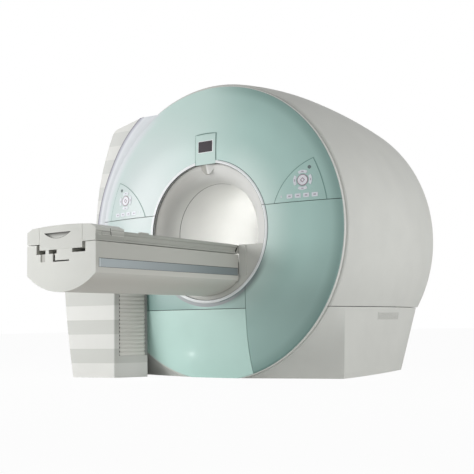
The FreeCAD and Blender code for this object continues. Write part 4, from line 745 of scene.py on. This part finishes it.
# far end: a buffer under the tabletop's lean; painted shade: a dark strip along the lean and dark
# plates on the chassis, where the gap is in shade
FAR_REACH = TABLE_FAR + 0.0100
TOP_UNDER = 0.8345
for name, outline, half, paint, body, slot in (
        ("far_buffer", [(TABLE_FAR + 0.0008, 0.8900), (FAR_REACH, 0.8880), (FAR_REACH, TOP_UNDER),
                        (TABLE_FAR - 0.0355, TOP_UNDER)],
         0.2646, dark_table, "sliding_top", "tabletop_shell"),
        ("far_shade_strip", [(TABLE_FAR - 0.0016, 0.8895), (TABLE_FAR + 0.0030, 0.8895),
                       (TABLE_FAR - 0.0310, 0.8348), (TABLE_FAR - 0.0364, 0.8348)],
         0.2652, seal_and_shade_dark, "sliding_top", "tabletop_shell"),
        ("gasket_middle", [(TABLE_FAR - 0.0005, 0.795), (FAR_REACH, 0.795), (FAR_REACH, 0.700),
                           (TABLE_FAR - 0.0005, 0.700)],
         0.2620, seal_and_shade_dark, "table_lift", "table_cover")):
    add_piece(name, [(x, y, z) for x in (-half, half) for y, z in outline],
              loop_faces(2, len(outline)), paint, body)
for side, way in SIDES:
    side_block(f"gasket_{side}", (0.210 * way, 0.262 * way), TABLE_FAR - 0.0005, FAR_REACH,
               0.7945, 0.8290, 0.001, (1, 1), seal_and_shade_dark, "table_lift")

# ------------------------------------------------------------------ column
SLOT_NEAR, SLOT_FAR = 0.036, 0.220          # along the inner face, from its corner
PLEAT_FRONT, PLEAT_BACK, FOLD = -0.004, 0.012, 0.005
PLEAT_ROWS, PLEAT_CORNER = 8, 0.003


def on_slot(along, back, level):
    """A point at a place along the column's inner face and behind it."""
    return (SLOT_CORNER[0] + math.cos(SLOT_TURN) * along - math.sin(SLOT_TURN) * back,
            SLOT_CORNER[1] + math.sin(SLOT_TURN) * along + math.cos(SLOT_TURN) * back, level)


def add_bellows(name, low, high, pleats, body):
    """Rounded pleats in the column's slot."""
    chamfer = ((0, PLEAT_CORNER), (PLEAT_CORNER, 0))
    rows = pleats * PLEAT_ROWS
    points = []
    for row in range(rows + 1):
        level = low + (high - low) * row / rows
        inset = FOLD * (1 - math.sin(math.pi * (row % PLEAT_ROWS) / PLEAT_ROWS) ** 0.8)
        for along, back, way_along, way_back in (
                (SLOT_NEAR, PLEAT_FRONT, 1, 1), (SLOT_FAR, PLEAT_FRONT, -1, 1),
                (SLOT_FAR, PLEAT_BACK, -1, -1), (SLOT_NEAR, PLEAT_BACK, 1, -1)):
            for off_along, off_back in chamfer if way_along == way_back else chamfer[::-1]:
                points.append(on_slot(along + way_along * (inset + off_along),
                                      back + way_back * (inset + off_back), level))
    return add_piece(name, points, loop_faces(rows + 1, 8), rubber, body, sharp=60)


LOWER_BELLOWS, UPPER_BELLOWS, LIFT_TRAVEL = (0.1543, 0.7417), (0.8173, 0.8897), 0.40
lower = add_bellows("bellows_low", *LOWER_BELLOWS, 21, "scanner")
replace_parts(lower, "lower_bellows")
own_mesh(lower)
upper = add_bellows("bellows_high", *UPPER_BELLOWS, 7, None)
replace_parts(upper, "upper_bellows")
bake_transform(upper)

# dark edge between the slot and the round front
add_piece("slot_edge", [on_slot(along, back, level) for level in (0.152, 0.892) for along, back in (
    (0.2232, -0.0008), (0.2390, -0.0008), (0.2390, 0.0006), (0.2232, 0.0006))],
    loop_faces(2, 4), slot_dark, "scanner")

# ------------------------------------------------------------------ body
# pale trim between the round front's rim and the body
ring_piece("rim_trim", [(FRONT_RADIUS - 0.001, 0.0045), (FRONT_RADIUS + 0.0035, 0.0070),
                        (FRONT_RADIUS + 0.0035, ear_back), (FRONT_RADIUS - 0.001, ear_back)],
           trim_pale, "scanner", start=-77, sweep=167)

# vent: a perforated sheet just behind the grille's face, which leans and looks to the right
grille_mesh = nodes["vent_grille"].data
outward = sum((polygon.normal * polygon.area for polygon in grille_mesh.polygons
               if polygon.normal.x > 0.5), Vector((0, 0, 0))).normalized()
level_way = Vector((0, 0, 1)).cross(outward).normalized()
steep_way = outward.cross(level_way)


def grille_span(way):
    places = [vertex.co.dot(way) for vertex in grille_mesh.vertices]
    return min(places), max(places)


level_span, steep_span, face = grille_span(level_way), grille_span(steep_way), grille_span(outward)[1]
sheet_points = []
for depth, inset in ((0.0045, 0.002), (0.0012, 0.002), (0.0006, 0.0032)):
    for first, second in ((0, 0), (1, 0), (1, 1), (0, 1)):
        sheet_points.append(level_way * (level_span[first] + inset * (1 - 2 * first))
                            + steep_way * (steep_span[second] + inset * (1 - 2 * second))
                            + outward * (face - depth))
add_piece("vent_sheet", sheet_points, loop_faces(3, 4), perforated, "scanner")


# ------------------------------------------------------------------ floor and light
def seen_directly(tree):
    """1 for rays from the camera and for reflections, otherwise 0."""
    path = tree.nodes.new("ShaderNodeLightPath")
    most = tree.nodes.new("ShaderNodeMath")
    most.operation = "MAXIMUM"
    tree.links.new(path.outputs["Is Camera Ray"], most.inputs[0])
    tree.links.new(path.outputs["Is Glossy Ray"], most.inputs[1])
    return most.outputs[0]


def blended(tree, share, first, second, output):
    mix = tree.nodes.new("ShaderNodeMixShader")
    for source, socket in zip((share, first, second), mix.inputs):
        tree.links.new(source, socket)
    tree.links.new(mix.outputs[0], tree.nodes[output].inputs["Surface"])


def camera_white(name, share):
    """A pale diffuse surface that the camera and reflections see as plain white."""
    material = bpy.data.materials.new(name)
    material.use_nodes = True
    tree = material.node_tree
    shader = tree.nodes["Principled BSDF"]
    shader.inputs["Base Color"].default_value = (0.9, 0.9, 0.9, 1)
    shader.inputs["Roughness"].default_value = 0.9
    glow = tree.nodes.new("ShaderNodeEmission")
    scaled = tree.nodes.new("ShaderNodeMath")
    scaled.operation = "MULTIPLY"
    scaled.inputs[1].default_value = share
    tree.links.new(seen_directly(tree), scaled.inputs[0])
    blended(tree, scaled.outputs[0], shader.outputs[0], glow.outputs[0], "Material Output")
    return material


def add_floor(reach=30.0):
    mesh = bpy.data.meshes.new("floor")
    mesh.from_pydata([(-reach, -reach, 0), (reach, -reach, 0), (reach, reach, 0), (-reach, reach, 0)],
                     [], [(0, 1, 2, 3)])
    floor = bpy.data.objects.new("floor", mesh)
    floor.data.materials.append(camera_white("floor_white", 0.95))
    bpy.context.scene.collection.objects.link(floor)


def add_world(level, overhead):
    """Even light from the sides that falls off towards the zenith; the camera sees plain white."""
    world = bpy.data.worlds.new("studio")
    bpy.context.scene.world = world
    world.use_nodes = True
    tree = world.node_tree
    background = tree.nodes["Background"]
    background.inputs["Color"].default_value = (1, 1, 1, 1)
    place = tree.nodes.new("ShaderNodeTexCoord")
    direction = tree.nodes.new("ShaderNodeSeparateXYZ")
    tree.links.new(place.outputs["Generated"], direction.inputs[0])
    fall = tree.nodes.new("ShaderNodeMapRange")
    for socket, value in (("From Min", 0.0), ("From Max", 0.9),
                          ("To Min", level), ("To Max", overhead)):
        fall.inputs[socket].default_value = value
    tree.links.new(direction.outputs[2], fall.inputs["Value"])
    tree.links.new(fall.outputs[0], background.inputs["Strength"])
    plain = tree.nodes.new("ShaderNodeBackground")
    plain.inputs["Color"].default_value = (1, 1, 1, 1)
    plain.inputs["Strength"].default_value = 1.0
    blended(tree, seen_directly(tree), background.outputs[0], plain.outputs[0], "World Output")


def add_light(name, kind, place, power):
    data = bpy.data.lights.new(name, kind)
    data.energy = power
    light = bpy.data.objects.new(name, data)
    light.location = place
    bpy.context.scene.collection.objects.link(light)
    return light


def add_softbox(name, place, target, size, power):
    light = add_light(name, "AREA", place, power)
    light.data.shape = "DISK"
    light.data.size = size
    light.rotation_euler = (Vector(target) - Vector(place)).to_track_quat("-Z", "Y").to_euler()


def add_bulb(name, place, power):
    """A lamp without size: it lights a hollow from inside and can't be seen."""
    add_light(name, "POINT", place, power).data.shadow_soft_size = 0.0


bpy.context.scene.view_settings.view_transform = "Standard"
add_camera()
add_floor()
add_world(0.72, 0.3)
add_softbox("key", (-3.2, -3.3, 1.7), (-0.2, 0, 0.9), 2.6, 98)
add_softbox("fill", (3.7, 0.1, 0.9), (0.9, 0.5, 0.9), 1.6, 20)
add_softbox("side", (4.6, 2.4, 0.9), (1.0, 0.9, 0.8), 1.8, 22)
add_bulb("wedge_light", (-0.38, -0.27, 0.07), 0.28)
add_bulb("bore_light", (0.08, 0.8, 1.02), 2.9)
